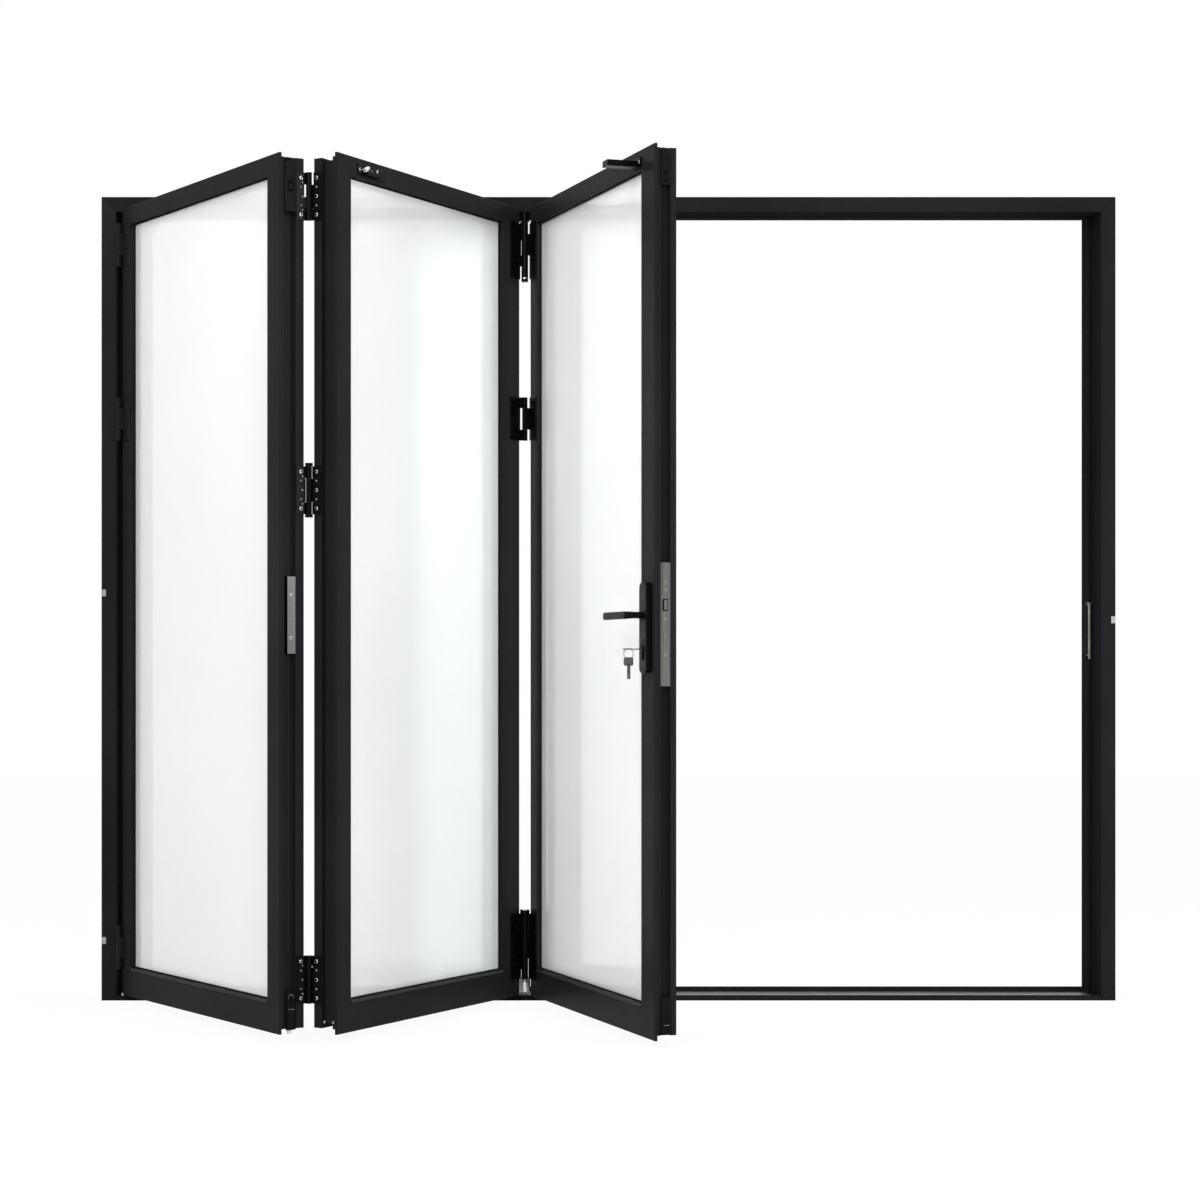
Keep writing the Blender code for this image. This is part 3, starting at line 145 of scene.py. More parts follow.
class Nodes:
    """Adds shader nodes to a new material and links them."""

    def __init__(self, name):
        self.material = bpy.data.materials.new(name)
        self.material.use_nodes = True
        self.tree = self.material.node_tree
        self.shader = self.tree.nodes["Principled BSDF"]
        self.output = self.tree.nodes["Material Output"]

    def add(self, kind, **values):
        node = self.tree.nodes.new(f"ShaderNode{kind}")
        for name, value in values.items():
            if name in node.inputs:
                node.inputs[name].default_value = value
            else:
                setattr(node, name, value)
        return node

    def link(self, source, target):
        self.tree.links.new(source, target)

    def noise(self, scale, detail=2.0, stretch=(1, 1, 1)):
        place = self.add("TexCoord")
        mapping = self.add("Mapping")
        mapping.inputs["Scale"].default_value = stretch
        noise = self.add("TexNoise", Scale=scale, Detail=detail)
        self.link(place.outputs["Object"], mapping.inputs["Vector"])
        self.link(mapping.outputs["Vector"], noise.inputs["Vector"])
        return noise.outputs["Fac"]

    def spread(self, source, low, high, start=0.3, end=0.7):
        ranged = self.add("MapRange")
        for name, value in (("From Min", start), ("From Max", end), ("To Min", low), ("To Max", high)):
            ranged.inputs[name].default_value = value
        self.link(source, ranged.inputs["Value"])
        return ranged.outputs["Result"]

    def colours(self, source, first, second, start=0.35, end=0.65):
        ramp = self.add("ValToRGB")
        ramp.color_ramp.elements[0].position = start
        ramp.color_ramp.elements[0].color = (*first, 1)
        ramp.color_ramp.elements[1].position = end
        ramp.color_ramp.elements[1].color = (*second, 1)
        self.link(source, ramp.inputs["Fac"])
        return ramp.outputs["Color"]

    def round_edges(self, radius):
        bevel = self.add("Bevel", samples=4)
        bevel.inputs["Radius"].default_value = radius
        return bevel.outputs["Normal"]

    def bump(self, source, strength, distance, normal=None):
        bump = self.add("Bump")
        bump.inputs["Strength"].default_value = strength
        bump.inputs["Distance"].default_value = distance
        self.link(source, bump.inputs["Height"])
        if normal is not None:
            self.link(normal, bump.inputs["Normal"])
        return bump.outputs["Normal"]

    def set(self, **values):
        for name, value in values.items():
            self.shader.inputs[name.replace("_", " ")].default_value = value


def powder_coat(name, gloss, lift=1.0):
    """Satin powder coat with a close orange-peel grain and uneven gloss. Lift scales its colour; above 1
    it paints the coat lighter, as if lit.
    """
    made = Nodes(name)
    patches = made.noise(3.0, 3.0)
    darker = [lift * part for part in (0.0112, 0.0118, 0.0127)]
    paler = [lift * part for part in (0.0144, 0.0151, 0.0162)]
    made.link(made.colours(patches, darker, paler), made.shader.inputs["Base Color"])
    made.link(made.spread(made.noise(60.0, 4.0), 0.33, 0.41), made.shader.inputs["Roughness"])
    grain = made.bump(made.noise(1500.0, 2.0), 0.10, 0.0002, made.round_edges(0.0015))
    made.link(grain, made.shader.inputs["Normal"])
    made.set(Specular_IOR_Level=gloss)
    return made.material


def hardware_coat():
    """Smooth satin black on the hinges and handle set, with faint wear in its gloss."""
    made = Nodes("black_hardware_coat")
    made.link(
        made.colours(made.noise(40.0, 4.0), (0.0010, 0.0010, 0.0011), (0.0020, 0.0020, 0.0021)),
        made.shader.inputs["Base Color"],
    )
    made.link(made.spread(made.noise(150.0, 5.0), 0.26, 0.36), made.shader.inputs["Roughness"])
    grain = made.bump(made.noise(900.0, 2.0), 0.05, 0.0002, made.round_edges(0.0006))
    made.link(grain, made.shader.inputs["Normal"])
    made.set(Specular_IOR_Level=0.08)
    return made.material


def brushed_metal(name, first, second, roughness, stretch):
    """Metal with drawn lines along the axis on which the noise is stretched."""
    made = Nodes(name)
    lines = made.noise(60.0, 6.0, stretch)
    made.link(made.colours(lines, first, second), made.shader.inputs["Base Color"])
    made.link(made.spread(lines, roughness - 0.06, roughness + 0.08), made.shader.inputs["Roughness"])
    made.link(made.bump(lines, 0.12, 0.0002, made.round_edges(0.0005)), made.shader.inputs["Normal"])
    made.set(Metallic=1.0)
    return made.material


def moulded_plastic(name, first, second, roughness=0.5, gloss=0.5):
    """Plastic or rubber with a fine moulded grain."""
    made = Nodes(name)
    made.set(Specular_IOR_Level=gloss)
    made.link(made.colours(made.noise(25.0, 3.0), first, second), made.shader.inputs["Base Color"])
    uneven = made.spread(made.noise(200.0, 3.0), roughness - 0.05, roughness + 0.08)
    made.link(uneven, made.shader.inputs["Roughness"])
    made.link(made.bump(made.noise(1200.0, 2.0), 0.08, 0.0002), made.shader.inputs["Normal"])
    return made.material


def pale_glass(haze):
    """Clear glossy glass with a pale bloom over it. Haze is the bloom's share."""
    made = Nodes("pale_glass")
    made.link(
        made.colours(made.noise(1.5, 1.0), (0.941, 0.944, 0.945), (0.959, 0.962, 0.963)),
        made.shader.inputs["Base Color"],
    )
    made.link(made.spread(made.noise(6.0, 2.0), 0.0, 0.015), made.shader.inputs["Roughness"])
    made.set(Transmission_Weight=1.0 - haze, IOR=1.45)
    through = made.add("BsdfTransparent", Color=(0.93, 0.94, 0.94, 1))
    path = made.add("LightPath")
    mixed = made.add("MixShader")
    made.link(path.outputs["Is Shadow Ray"], mixed.inputs["Fac"])
    made.link(made.shader.outputs["BSDF"], mixed.inputs[1])
    made.link(through.outputs["BSDF"], mixed.inputs[2])
    made.link(mixed.outputs["Shader"], made.output.inputs["Surface"])
    return made.material


# How a metal's noise is stretched: into lines along X, into upright lines, or not at all
LINES_ALONG_X = (0.02, 1, 1)
UPRIGHT_LINES = (1, 1, 0.03)
NO_LINES = (1, 1, 1)

COAT = powder_coat("black_powder_coat", 0.022)
FRAME_COAT = powder_coat("black_frame_coat", 0.0)
# A copy of the black coat 2.6 times lighter, painted light for the slope of the bead lips
BEAD_COAT_PAINTED_LIT = powder_coat("black_coat_painted_lit", 0.022, 2.6)
HARDWARE = hardware_coat()
ALUMINIUM = brushed_metal(
    "drawn_aluminium", (0.30, 0.30, 0.295), (0.42, 0.42, 0.41), 0.34, LINES_ALONG_X
)
TRACK_ALUMINIUM = brushed_metal(
    "track_aluminium", (0.19, 0.19, 0.187), (0.26, 0.26, 0.255), 0.34, LINES_ALONG_X
)
EDGE_STEEL = brushed_metal(
    "edge_plate_steel", (0.085, 0.085, 0.083), (0.165, 0.165, 0.161), 0.30, UPRIGHT_LINES
)
BOLT_PLATE_STEEL = brushed_metal(
    "bolt_plate_steel", (0.062, 0.062, 0.0605), (0.120, 0.120, 0.117), 0.30, UPRIGHT_LINES
)
STEEL = brushed_metal("brushed_steel", (0.19, 0.19, 0.186), (0.28, 0.28, 0.272), 0.30, UPRIGHT_LINES)
ZINC = brushed_metal("bright_zinc", (0.60, 0.60, 0.60), (0.78, 0.78, 0.77), 0.22, NO_LINES)
GREY_PLASTIC = moulded_plastic("grey_plastic", (0.27, 0.27, 0.262), (0.33, 0.33, 0.322))
PALE_NYLON = moulded_plastic("pale_nylon", (0.62, 0.62, 0.60), (0.70, 0.70, 0.68), 0.4)
RUBBER = moulded_plastic("black_rubber", (0.005, 0.005, 0.005), (0.008, 0.008, 0.008), 0.62, 0.02)
GLASS = pale_glass(0.38)
KEY_STEEL = brushed_metal("key_steel", (0.07, 0.07, 0.068), (0.14, 0.14, 0.137), 0.30, NO_LINES)
BLACK_PLASTIC = moulded_plastic(
    "black_plastic", (0.0045, 0.0045, 0.0050), (0.0065, 0.0065, 0.0070), 0.42, 0.04
)
# Near black painted into screw recesses, slots, the latch opening, the keyway and the guide's grooves as
# their shade; it also colours the dark seams of the first leaf's bolt foot
RECESS_SHADE_AND_SEAMS = moulded_plastic("painted_recess_shade_and_seams", (0.002, 0.002, 0.002), (0.003, 0.003, 0.003), 0.8, 0.05)

# What the CAD nodes are made of, where it isn't the leaves' powder coat
NODE_MATERIALS = {
    FRAME_COAT: ("head_frame", "right_jamb", "sill_frame"),
    TRACK_ALUMINIUM: ("sill_track",),
    ALUMINIUM: ("bottom_guide",),
    STEEL: ("strike_plate", "key"),
    EDGE_STEEL: ("lock_faceplate",),
    BOLT_PLATE_STEEL: ("flush_bolt_plate",),
    GREY_PLASTIC: ("fixing_clip_1", "fixing_clip_2", "fixing_clip_3"),
    BLACK_PLASTIC: ("leaf_1_top_bolt", "leaf_1_bottom_bolt", "leaf_3_top_bolt", "leaf_3_bottom_bolt"),
}
HARDWARE_WORDS = ("ridge_hinge", "track_hinge", "carrier", "handle", "hold_open", "lock_cylinder")


def finish_of(name):
    """The material of a CAD node."""
    for material, names in NODE_MATERIALS.items():
        if name in names:
            return material
    if any(word in name for word in HARDWARE_WORDS):
        return HARDWARE
    return COAT


for node_name, node in NODES.items():
    if node.type == "MESH" and not node_name.endswith("_glass"):
        for place in node.material_slots:
            place.material = finish_of(node_name)


# Mesh helpers


def link_piece(name, shape, materials, body="door", smooth=35):
    """Turns a bmesh into a named piece that rides on a body."""
    bmesh.ops.recalc_face_normals(shape, faces=shape.faces)
    mesh = bpy.data.meshes.new(name)
    shape.to_mesh(mesh)
    shape.free()
    for material in materials if isinstance(materials, tuple) else (materials,):
        mesh.materials.append(material)
    piece = bpy.data.objects.new(name, mesh)
    bpy.context.scene.collection.objects.link(piece)
    mesh.shade_smooth()
    mesh.set_sharp_from_angle(angle=math.radians(smooth))
    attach(piece, body)
    return piece


def add_box(shape, low, high, place=None, bevel=0.0):
    """A box between two corners, with its edges rounded by bevel."""
    low, high = Vector(low), Vector(high)
    made = bmesh.ops.create_cube(shape, size=1.0)["verts"]
    size = Matrix.Diagonal((*(high - low), 1.0))
    bmesh.ops.transform(shape, matrix=Matrix.Translation((low + high) / 2) @ size, verts=made)
    if bevel:
        edges = list(dict.fromkeys(edge for vert in made for edge in vert.link_edges))
        cut = bmesh.ops.bevel(shape, geom=edges, offset=bevel, segments=2, profile=0.5, affect="EDGES")
        kept = {vert for vert in made if vert.is_valid}
        made = list({vert for face in cut["faces"] for vert in face.verts} | kept)
    if place is not None:
        bmesh.ops.transform(shape, matrix=place, verts=made)


def add_rings(shape, rings, closed=False, dark_from=None):
    """Joins rings of equally many points, and caps the ends unless the rings close on themselves.

    From the pair of rings numbered dark_from on, the faces take the second material.
    """
    loops = [[shape.verts.new(point) for point in ring] for ring in rings]
    pairs = list(zip(loops, loops[1:]))
    if closed:
        pairs.append((loops[-1], loops[0]))
    count = len(loops[0])
    for number, (first, second) in enumerate(pairs):
        for i in range(count):
            j = (i + 1) % count
            face = shape.faces.new((first[i], first[j], second[j], second[i]))
            face.material_index = int(dark_from is not None and number >= dark_from)
    if not closed:
        shape.faces.new(loops[0][::-1])
        shape.faces.new(loops[-1]).material_index = int(dark_from is not None)


def add_ring_frame(shape, place, corners, section):
    """Sweeps a section of (inward, depth) points round a mitred rectangle (u1, u2, z1, z2)."""
    u1, u2, z1, z2 = corners
    signs = ((u1, z1, 1, 1), (u2, z1, -1, 1), (u2, z2, -1, -1), (u1, z2, 1, -1))
    rings = [
        [place @ Vector((u + across * inward, depth, z + up * inward)) for inward, depth in section]
        for u, z, across, up in signs
    ]
    add_rings(shape, rings, closed=True)


def circle(sides):
    """Points round a circle of radius 1."""
    angles = [2 * math.pi * i / sides for i in range(sides)]
    return [(math.cos(angle), math.sin(angle)) for angle in angles]


def add_turned(shape, place, profile, sides=20, dark_from=None):
    """Turns a profile of (radius, height) points about the local Z axis of place."""
    rings = []
    for radius, height in profile:
        rings.append([place @ Vector((radius * x, radius * y, height)) for x, y in circle(sides)])
    add_rings(shape, rings, dark_from=dark_from)


def facing(leaf, point, direction):
    """A place on a leaf with its Z axis along direction, both in the leaf's own coordinates."""
    turn = Vector(direction).to_track_quat("Z", "Y").to_matrix().to_4x4()
    return leaf @ Matrix.Translation(point) @ turn


def add_screw(shape, place, radius, height=0.0012):
    """A raised screw head with a rounded rim, and a driving recess in the piece's second material,
    painted darker as its shade.
    """
    profile = [
        (radius, SUNK),
        (radius, height * 0.35),
        (radius * 0.93, height * 0.75),
        (radius * 0.82, height),
        (radius * 0.68, height * 1.04),
        (radius * 0.60, height * 0.95),
        (radius * 0.52, height * 0.25),
    ]
    add_turned(shape, place, profile, 16, dark_from=4)


def add_plate(shape, place, half_width, half_height, corner, heights):
    """A rounded rectangle in the plane of place, with a softened front edge between the two heights."""
    low, high = heights
    soft = min(corner * 0.5, (high - low) * 0.4)
    rings = []
    for inset, height in ((0, low), (0, high - soft), (soft, high)):
        reach = max(corner - inset, 0.0001)
        ring = []
        for across, up, start in ((1, 1, 0), (-1, 1, 90), (-1, -1, 180), (1, -1, 270)):
            centre = (across * (half_width - corner), up * (half_height - corner))
            for step in range(5):
                angle = math.radians(start + 22.5 * step)
                x = centre[0] + reach * math.cos(angle)
                y = centre[1] + reach * math.sin(angle)
                ring.append(place @ Vector((x, y, height)))
        rings.append(ring)
    add_rings(shape, rings)


def add_tube(shape, points, radius, sides=10, closed=False):
    """A round bar along a path of points."""
    count = len(points)
    rings = []
    for i, point in enumerate(points):
        before = points[(i - 1) % count] if closed or i else point
        after = points[(i + 1) % count] if closed or i < count - 1 else point
        turn = (Vector(after) - Vector(before)).to_track_quat("Z", "Y").to_matrix().to_4x4()
        place = Matrix.Translation(point) @ turn
        rings.append([place @ Vector((radius * x, radius * y, 0)) for x, y in circle(sides)])
    add_rings(shape, rings, closed=closed)


# Glass units


def opening(number):
    """The rectangle (u1, u2, z1, z2) in which a leaf's glass shows."""
    left, right = STILE_FACES[number]
    return left, LEAF_WIDTH - right, LEAF_BOTTOM + BOTTOM_RAIL_FACE, LEAF_TOP - TOP_RAIL_FACE


def add_glass_unit(number, place):
    """Two panes on a dark spacer, in the place of the leaf's glass slab."""
    u1, u2, z1, z2 = opening(number)
    u1, u2, z1, z2 = u1 - GLASS_COVER, u2 + GLASS_COVER, z1 - GLASS_COVER, z2 + GLASS_COVER
    panes = bmesh.new()
    for start in (GLASS_FRONT, GLASS_BACK - PANE):
        add_box(panes, (u1, start, z1), (u2, start + PANE, z2), place)
    pane = link_piece(f"leaf_{number}_panes", panes, GLASS)
    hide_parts(f"leaf_{number}_glass")
    spacers = bmesh.new()
    front, back, corner = GLASS_FRONT + PANE, GLASS_BACK - PANE, 0.001
    section = [
        (0.001, front),
        (0.0105, front),
        (0.0115, front + corner),
        (0.0115, back - corner),
        (0.0105, back),
        (0.001, back),
    ]
    add_ring_frame(spacers, place, (u1, u2, z1, z2), section)
    spacer = link_piece(f"leaf_{number}_spacer", spacers, RUBBER)
    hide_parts(f"leaf_{number}_glass")


# Rubber gaskets and bead lips


def add_glazing_gaskets():
    """A soft lip round each glass unit, on the face and at the bead."""
    shape = bmesh.new()
    at_face = [
        (0.0002, 0.0122),
        (0.0002, 0.0098),
        (0.0010, 0.0088),
        (0.0022, 0.0092),
        (0.0030, 0.0106),
        (0.0032, 0.0122),
    ]
    at_bead = [(inward, GLASS_FRONT + GLASS_BACK - v) for inward, v in at_face]
    for number, place in LEAVES.items():
        for section in (at_face, at_bead):
            add_ring_frame(shape, place, opening(number), section)
    link_piece("glazing_gaskets", shape, RUBBER)


def add_bead_lips():
    """The sloped lip of the glazing bead along the top of each bottom rail, in a lighter copy of the
    black coat that paints the light its slope catches from above.
    """
    shape = bmesh.new()
    section = [
        (-0.0002, -0.0002),
        (-0.0022, -0.0066),
        (-0.0018, -0.0072),
        (0.0010, -0.0072),
        (0.0010, -0.0002),
    ]
    for number, place in LEAVES.items():
        u1, u2, foot, _ = opening(number)
        add_rings(shape, [[place @ Vector((u, v, foot + rise)) for v, rise in section] for u in (u1, u2)])
    link_piece("bead_lips", shape, BEAD_COAT_PAINTED_LIT)


def add_frame_gaskets():
    """Bulb gaskets that stand out of the grooves in the jambs for the leaves to close on."""
    shape = bmesh.new()
    groove_inset = 0.050
    ends = (0.026, HEAD_UNDERSIDE - 0.001)
    bulb = [
        (-0.0016, 0.0045),
        (-0.0016, -0.0004),
        (-0.0024, -0.0014),
        (-0.0018, -0.0030),
        (0.0, -0.0036),
        (0.0018, -0.0030),
        (0.0024, -0.0014),
        (0.0016, -0.0004),
        (0.0016, 0.0045),
    ]
    for side in (-1, 1):
        middle = side * (FRAME_HALF_WIDTH - groove_inset)
        section = [(middle + across, STOP_FRONT + depth) for across, depth in bulb]
        add_rings(shape, [[Vector((x, y, z)) for x, y in section] for z in ends])
    link_piece("frame_gaskets", shape, RUBBER)


# Hinge details


def add_ridge_screws():
    """Bright screws, large and small, in the wings of the hinges between the first and second leaf."""
    shape = bmesh.new()
    first, second = LEAVES[1], LEAVES[2]
    first_v = LEAF_DEPTHS[1] - 0.0085
    second_v = LEAF_DEPTHS[2] - 0.0080
    pin_side_v = LEAF_DEPTHS[1] - 0.0042
    large, small, smallest = 0.0046, 0.0026, 0.0024
    for centre in RIDGE_LEVELS:
        for z in (centre - 0.043, centre, centre + 0.043):
            if z != centre:
                add_screw(shape, facing(first, (EDGE_WING_FACE, first_v, z), ALONG), large)
            add_screw(shape, facing(second, (WING_RISE, second_v, z), AGAINST), large)
        for z in (centre - 0.0215, centre + 0.0215):
            add_screw(shape, facing(first, (EDGE_WING_FACE, first_v, z), ALONG), smallest)
            add_screw(shape, facing(second, (WING_RISE, second_v, z), AGAINST), small)
        for z in (centre - 0.0325, centre, centre + 0.0325):
            add_screw(shape, facing(first, (EDGE_WING_FACE, pin_side_v, z), ALONG), smallest)
    link_piece("ridge_hinge_screws", shape, (ZINC, RECESS_SHADE_AND_SEAMS))


def add_face_screws():
    """Black screws in the wings that lie on the leaves' faces, staggered from row to row."""
    shape = bmesh.new()
    radius, height = 0.0040, 0.0010
    inner, outer = 0.016, 0.034
    for centre in HINGE_LEVELS:
        for rise, near, far in (
            (-0.042, inner, outer),
            (-0.014, outer, inner),
            (0.014, inner, outer),
            (0.042, outer, inner),
        ):
            z = centre + rise
            for out in (near, far):
                second = (LEAF_WIDTH + MEETING_GAP / 2 - out, FACE_WING_FRONT, z)
                add_screw(shape, facing(LEAVES[2], second, FORWARD), radius, height)
                third = (out - MEETING_GAP / 2, FACE_WING_FRONT, z)
                add_screw(shape, facing(LEAVES[3], third, FORWARD), radius, height)
            first = (JAMB_PIN_INSET + near, FACE_WING_FRONT, z)
            add_screw(shape, facing(LEAVES[1], first, FORWARD), radius, height)
    link_piece("face_hinge_screws", shape, (HARDWARE, RECESS_SHADE_AND_SEAMS))


def add_pin_ends():
    """A collar on the lower pin of the track hinges, a bright ring near the end of the upper pin, and a
    thin bright ring on the collar's rim that paints its highlight.
    """
    shape = bmesh.new()
    ring = bmesh.new()
    place = Matrix.Translation((TRACK_PIN_X, PIN_LINE, 0))
    collar = [(0.0112, 0.2275), (0.0124, 0.2287), (0.0124, 0.2395), (0.0112, 0.2410), (0.0060, 0.2412)]
    collar_rim_highlight = [(0.0120, 0.2388), (0.0128, 0.2391), (0.0128, 0.2405), (0.0112, 0.2416)]
    upper_ring = [(0.0086, 1.8806), (0.0092, 1.8812), (0.0092, 1.8842), (0.0086, 1.8848)]
    add_turned(shape, place, collar, 28)
    add_turned(ring, place, collar_rim_highlight, 28)
    add_turned(ring, place, upper_ring, 28)
    link_piece("track_pin_collar", shape, HARDWARE)
    link_piece("track_pin_ring_and_rim_highlight", ring, ZINC)


# Lock and handle details


def add_keys():
    """A key in the cylinder with a ring through its bow, and a second key hanging from the ring."""
    door = LEAVES[3]
    key = bmesh.new()
    bow = door @ Matrix.Translation((HANDLE_U, KEY_BOW_V, KEY_Z))
    add_turned(key, bow, [(0.0119, -0.0012), (0.0125, -0.0006), (0.0125, 0.0006), (0.0119, 0.0012)], 32)
    neck, half_thickness = 0.0040, 0.0011
    neck_end = (neck, KEY_END_V - KEY_BOW_V, half_thickness)
    add_box(key, (-neck, 0.004, -half_thickness), neck_end, bow)
    piece = link_piece("key_in_lock", key, KEY_STEEL)
    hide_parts("key")

    hang_v = KEY_BOW_V + 0.0015
    ring = bmesh.new()
    centre = Vector((HANDLE_U, hang_v, KEY_Z - 0.0103))
    reach = 0.0118
    points = [door @ (centre + Vector((0.0, reach * x, reach * y))) for x, y in circle(28)]
    add_tube(ring, points, 0.0008, closed=True)
    link_piece("key_ring", ring, STEEL)

    spare = bmesh.new()
    place = facing(door, (HANDLE_U, hang_v, KEY_Z - 0.0285), ALONG)
    add_plate(spare, place, 0.0118, 0.0098, 0.0045, (-0.0012, 0.0012))
    blade = [(0.0043, -0.0090), (0.0043, -0.0385), (0.0020, -0.0410), (-0.0006, -0.0405)]
    for step in range(6):
        z = -0.0395 + 0.0048 * step
        blade += [(-0.0042, z + 0.0010), (-0.0042, z + 0.0026), (-0.0020, z + 0.0038)]
    blade.append((-0.0043, -0.0090))
    add_rings(spare, [[place @ Vector((x, y, z)) for x, y in blade] for z in (-0.0010, 0.0010)])
    link_piece("spare_key", spare, KEY_STEEL)


def add_faceplate_details():
    """Latch, dead bolt and screws of the lock's faceplate, and the screws of the flush bolt's plate."""
    latch_and_bolt = bmesh.new()
    openings = bmesh.new()
    screws = bmesh.new()
    seams = bmesh.new()
    door, first = LEAVES[3], LEAVES[1]
    latch = facing(door, (EDGE_FACE, FACEPLATE_V, LATCH_Z), ALONG)
    bolt = facing(door, (EDGE_FACE, FACEPLATE_V, DEAD_BOLT_Z), ALONG)
    flat = (SUNK, 0.00015)
    for z in FACEPLATE_SCREWS:
        add_screw(screws, facing(door, (EDGE_FACE, FACEPLATE_V, z), ALONG), 0.0030, 0.0006)
    # The latch opening is a flat near-black plate, painted as the shade inside it
    add_plate(openings, latch, 0.0062, 0.0140, 0.0012, flat)
    add_plate(seams, bolt, 0.0052, 0.0137, 0.0012, flat)
    half_width = 0.0050
    rings = []
    for inset, height in ((0, -0.001), (0, 0.0005), (0.0014, 0.0052)):
        half = 0.0115 - inset * 0.3
        slope = half_width - inset * 2
        corners = ((-half_width, -half), (slope, -half), (slope, half), (-half_width, half))
        rings.append([latch @ Vector((x, y, height)) for x, y in corners])
    add_rings(latch_and_bolt, rings)
    add_plate(latch_and_bolt, bolt, 0.0046, 0.0128, 0.0008, (SUNK, 0.0009))
    for z in FLUSH_PLATE_SCREWS:
        add_screw(screws, facing(first, (EDGE_FACE, FLUSH_PLATE_V, z), ALONG), 0.0050, 0.0010)
    hole = facing(first, (EDGE_FACE, FLUSH_PLATE_V - 0.002, FLUSH_PLATE_HOLE_Z), ALONG)
    add_turned(seams, hole, [(0.0024, SUNK), (0.0022, 0.0003)], 14)
    link_piece("edge_plate_screws", screws, (ALUMINIUM, KEY_STEEL))
    link_piece("edge_plate_seams", seams, KEY_STEEL)
    link_piece("latch_and_bolt", latch_and_bolt, EDGE_STEEL)
    link_piece("edge_plate_openings", openings, RECESS_SHADE_AND_SEAMS)


def add_strike_details():
    """The strike plate's raised lip, small screws beside it, and dark strips beside it that paint the
    shade there.
    """
    lip = bmesh.new()
    shades = bmesh.new()
    screws = bmesh.new()
    front = STOP_FRONT - SEAT_GAP - STRIKE_THICKNESS
    forward = Matrix.Rotation(math.pi / 2, 4, "X")
    # The lip's plate, then two near-black strips either side of it that paint the shade beside the lip
    for shape, x, half_width, heights in (
        (lip, 1.2719, 0.0029, (SUNK, 0.0010)),
        (shades, 1.2654, 0.0032, (-0.0026, 0.0003)),
        (shades, 1.2773, 0.0022, (SUNK, 0.0003)),
    ):
        place = Matrix.Translation((x, front, STRIKE_MIDDLE_Z)) @ forward
        add_plate(shape, place, half_width, STRIKE_HALF_HEIGHT, 0.0010, heights)
    for z in STRIKE_SCREWS:
        add_screw(screws, Matrix.Translation((1.2670, front, z)) @ forward, 0.0022, 0.0010)
    link_piece("strike_lip", lip, ALUMINIUM)
    link_piece("strike_painted_shades", shades, BLACK_PLASTIC)
    link_piece("strike_screws", screws, (ZINC, KEY_STEEL))


def add_rear_plate():
    """The slim cover plate of the lock on the back of the door leaf, with its cylinder and screws."""
    shape = bmesh.new()
    door = LEAVES[3]
    back = LEAF_DEPTHS[3] + SEAT_GAP
    thickness = 0.0028
    plate = facing(door, (HANDLE_U, back, LOCK_MIDDLE_Z), BACKWARD)
    add_plate(shape, plate, 0.022, 0.104, 0.010, (0, thickness))
    link_piece("rear_handle_plate", shape, HARDWARE)
    metal = bmesh.new()
    cylinder = facing(door, (HANDLE_U, back + thickness, KEY_Z), BACKWARD)
    profile = [(0.0088, SUNK), (0.0088, 0.0022), (0.0082, 0.0030), (0.0024, 0.0030), (0.0022, 0.0016)]
    # From its fourth ring on, the cylinder's keyway is painted near black as its shade
    add_turned(metal, cylinder, profile, 28, 3)
    for z in (1.046, 0.876):
        add_screw(metal, facing(door, (HANDLE_U, back + thickness, z), BACKWARD), 0.0036, 0.0010)
    link_piece("rear_cylinder", metal, (ALUMINIUM, RECESS_SHADE_AND_SEAMS))


# Catch, arm and shoot bolts


def add_catch_details():
    """The rollers, plug and screws of the hold-open catch, and the screws in the foot of its arm."""
    screws = bmesh.new()
    plug = bmesh.new()
    rollers = bmesh.new()
    second, door = LEAVES[2], LEAVES[3]
    base_screw = facing(second, (0.091, CATCH_BASE_FRONT, CATCH_Z), FORWARD)
    add_screw(screws, base_screw, 0.0036, 0.0012)
    plug_place = facing(second, (0.1235, CATCH_ARM_FRONT, CATCH_Z - 0.001), FORWARD)
    add_screw(plug, plug_place, 0.0030, 0.0010)
    link_piece("catch_plug", plug, KEY_STEEL)
    for u, rise, radius in ((0.1045, 0.0, 0.0050), (0.1110, 0.0045, 0.0042)):
        place = facing(second, (u, -0.0030, CATCH_Z + rise), FORWARD)
        profile = [(radius, 0.0), (radius, 0.0118), (radius * 0.86, 0.0130), (radius * 0.40, 0.0132)]
        add_turned(rollers, place, profile, 24)
    link_piece("catch_rollers", rollers, ZINC)
    arm_screw = facing(second, (0.150, CATCH_ARM_FRONT, CATCH_Z + 0.002), FORWARD)
    add_screw(screws, arm_screw, 0.0040, 0.0014)
    for inset in (0.0855, 0.1260):
        place = facing(door, (LEAF_WIDTH - inset, ARM_FOOT_FRONT, ARM_FOOT_Z), FORWARD)
        add_screw(screws, place, 0.0036, 0.0012)
    link_piece("hold_open_screws", screws, (ZINC, RECESS_SHADE_AND_SEAMS))


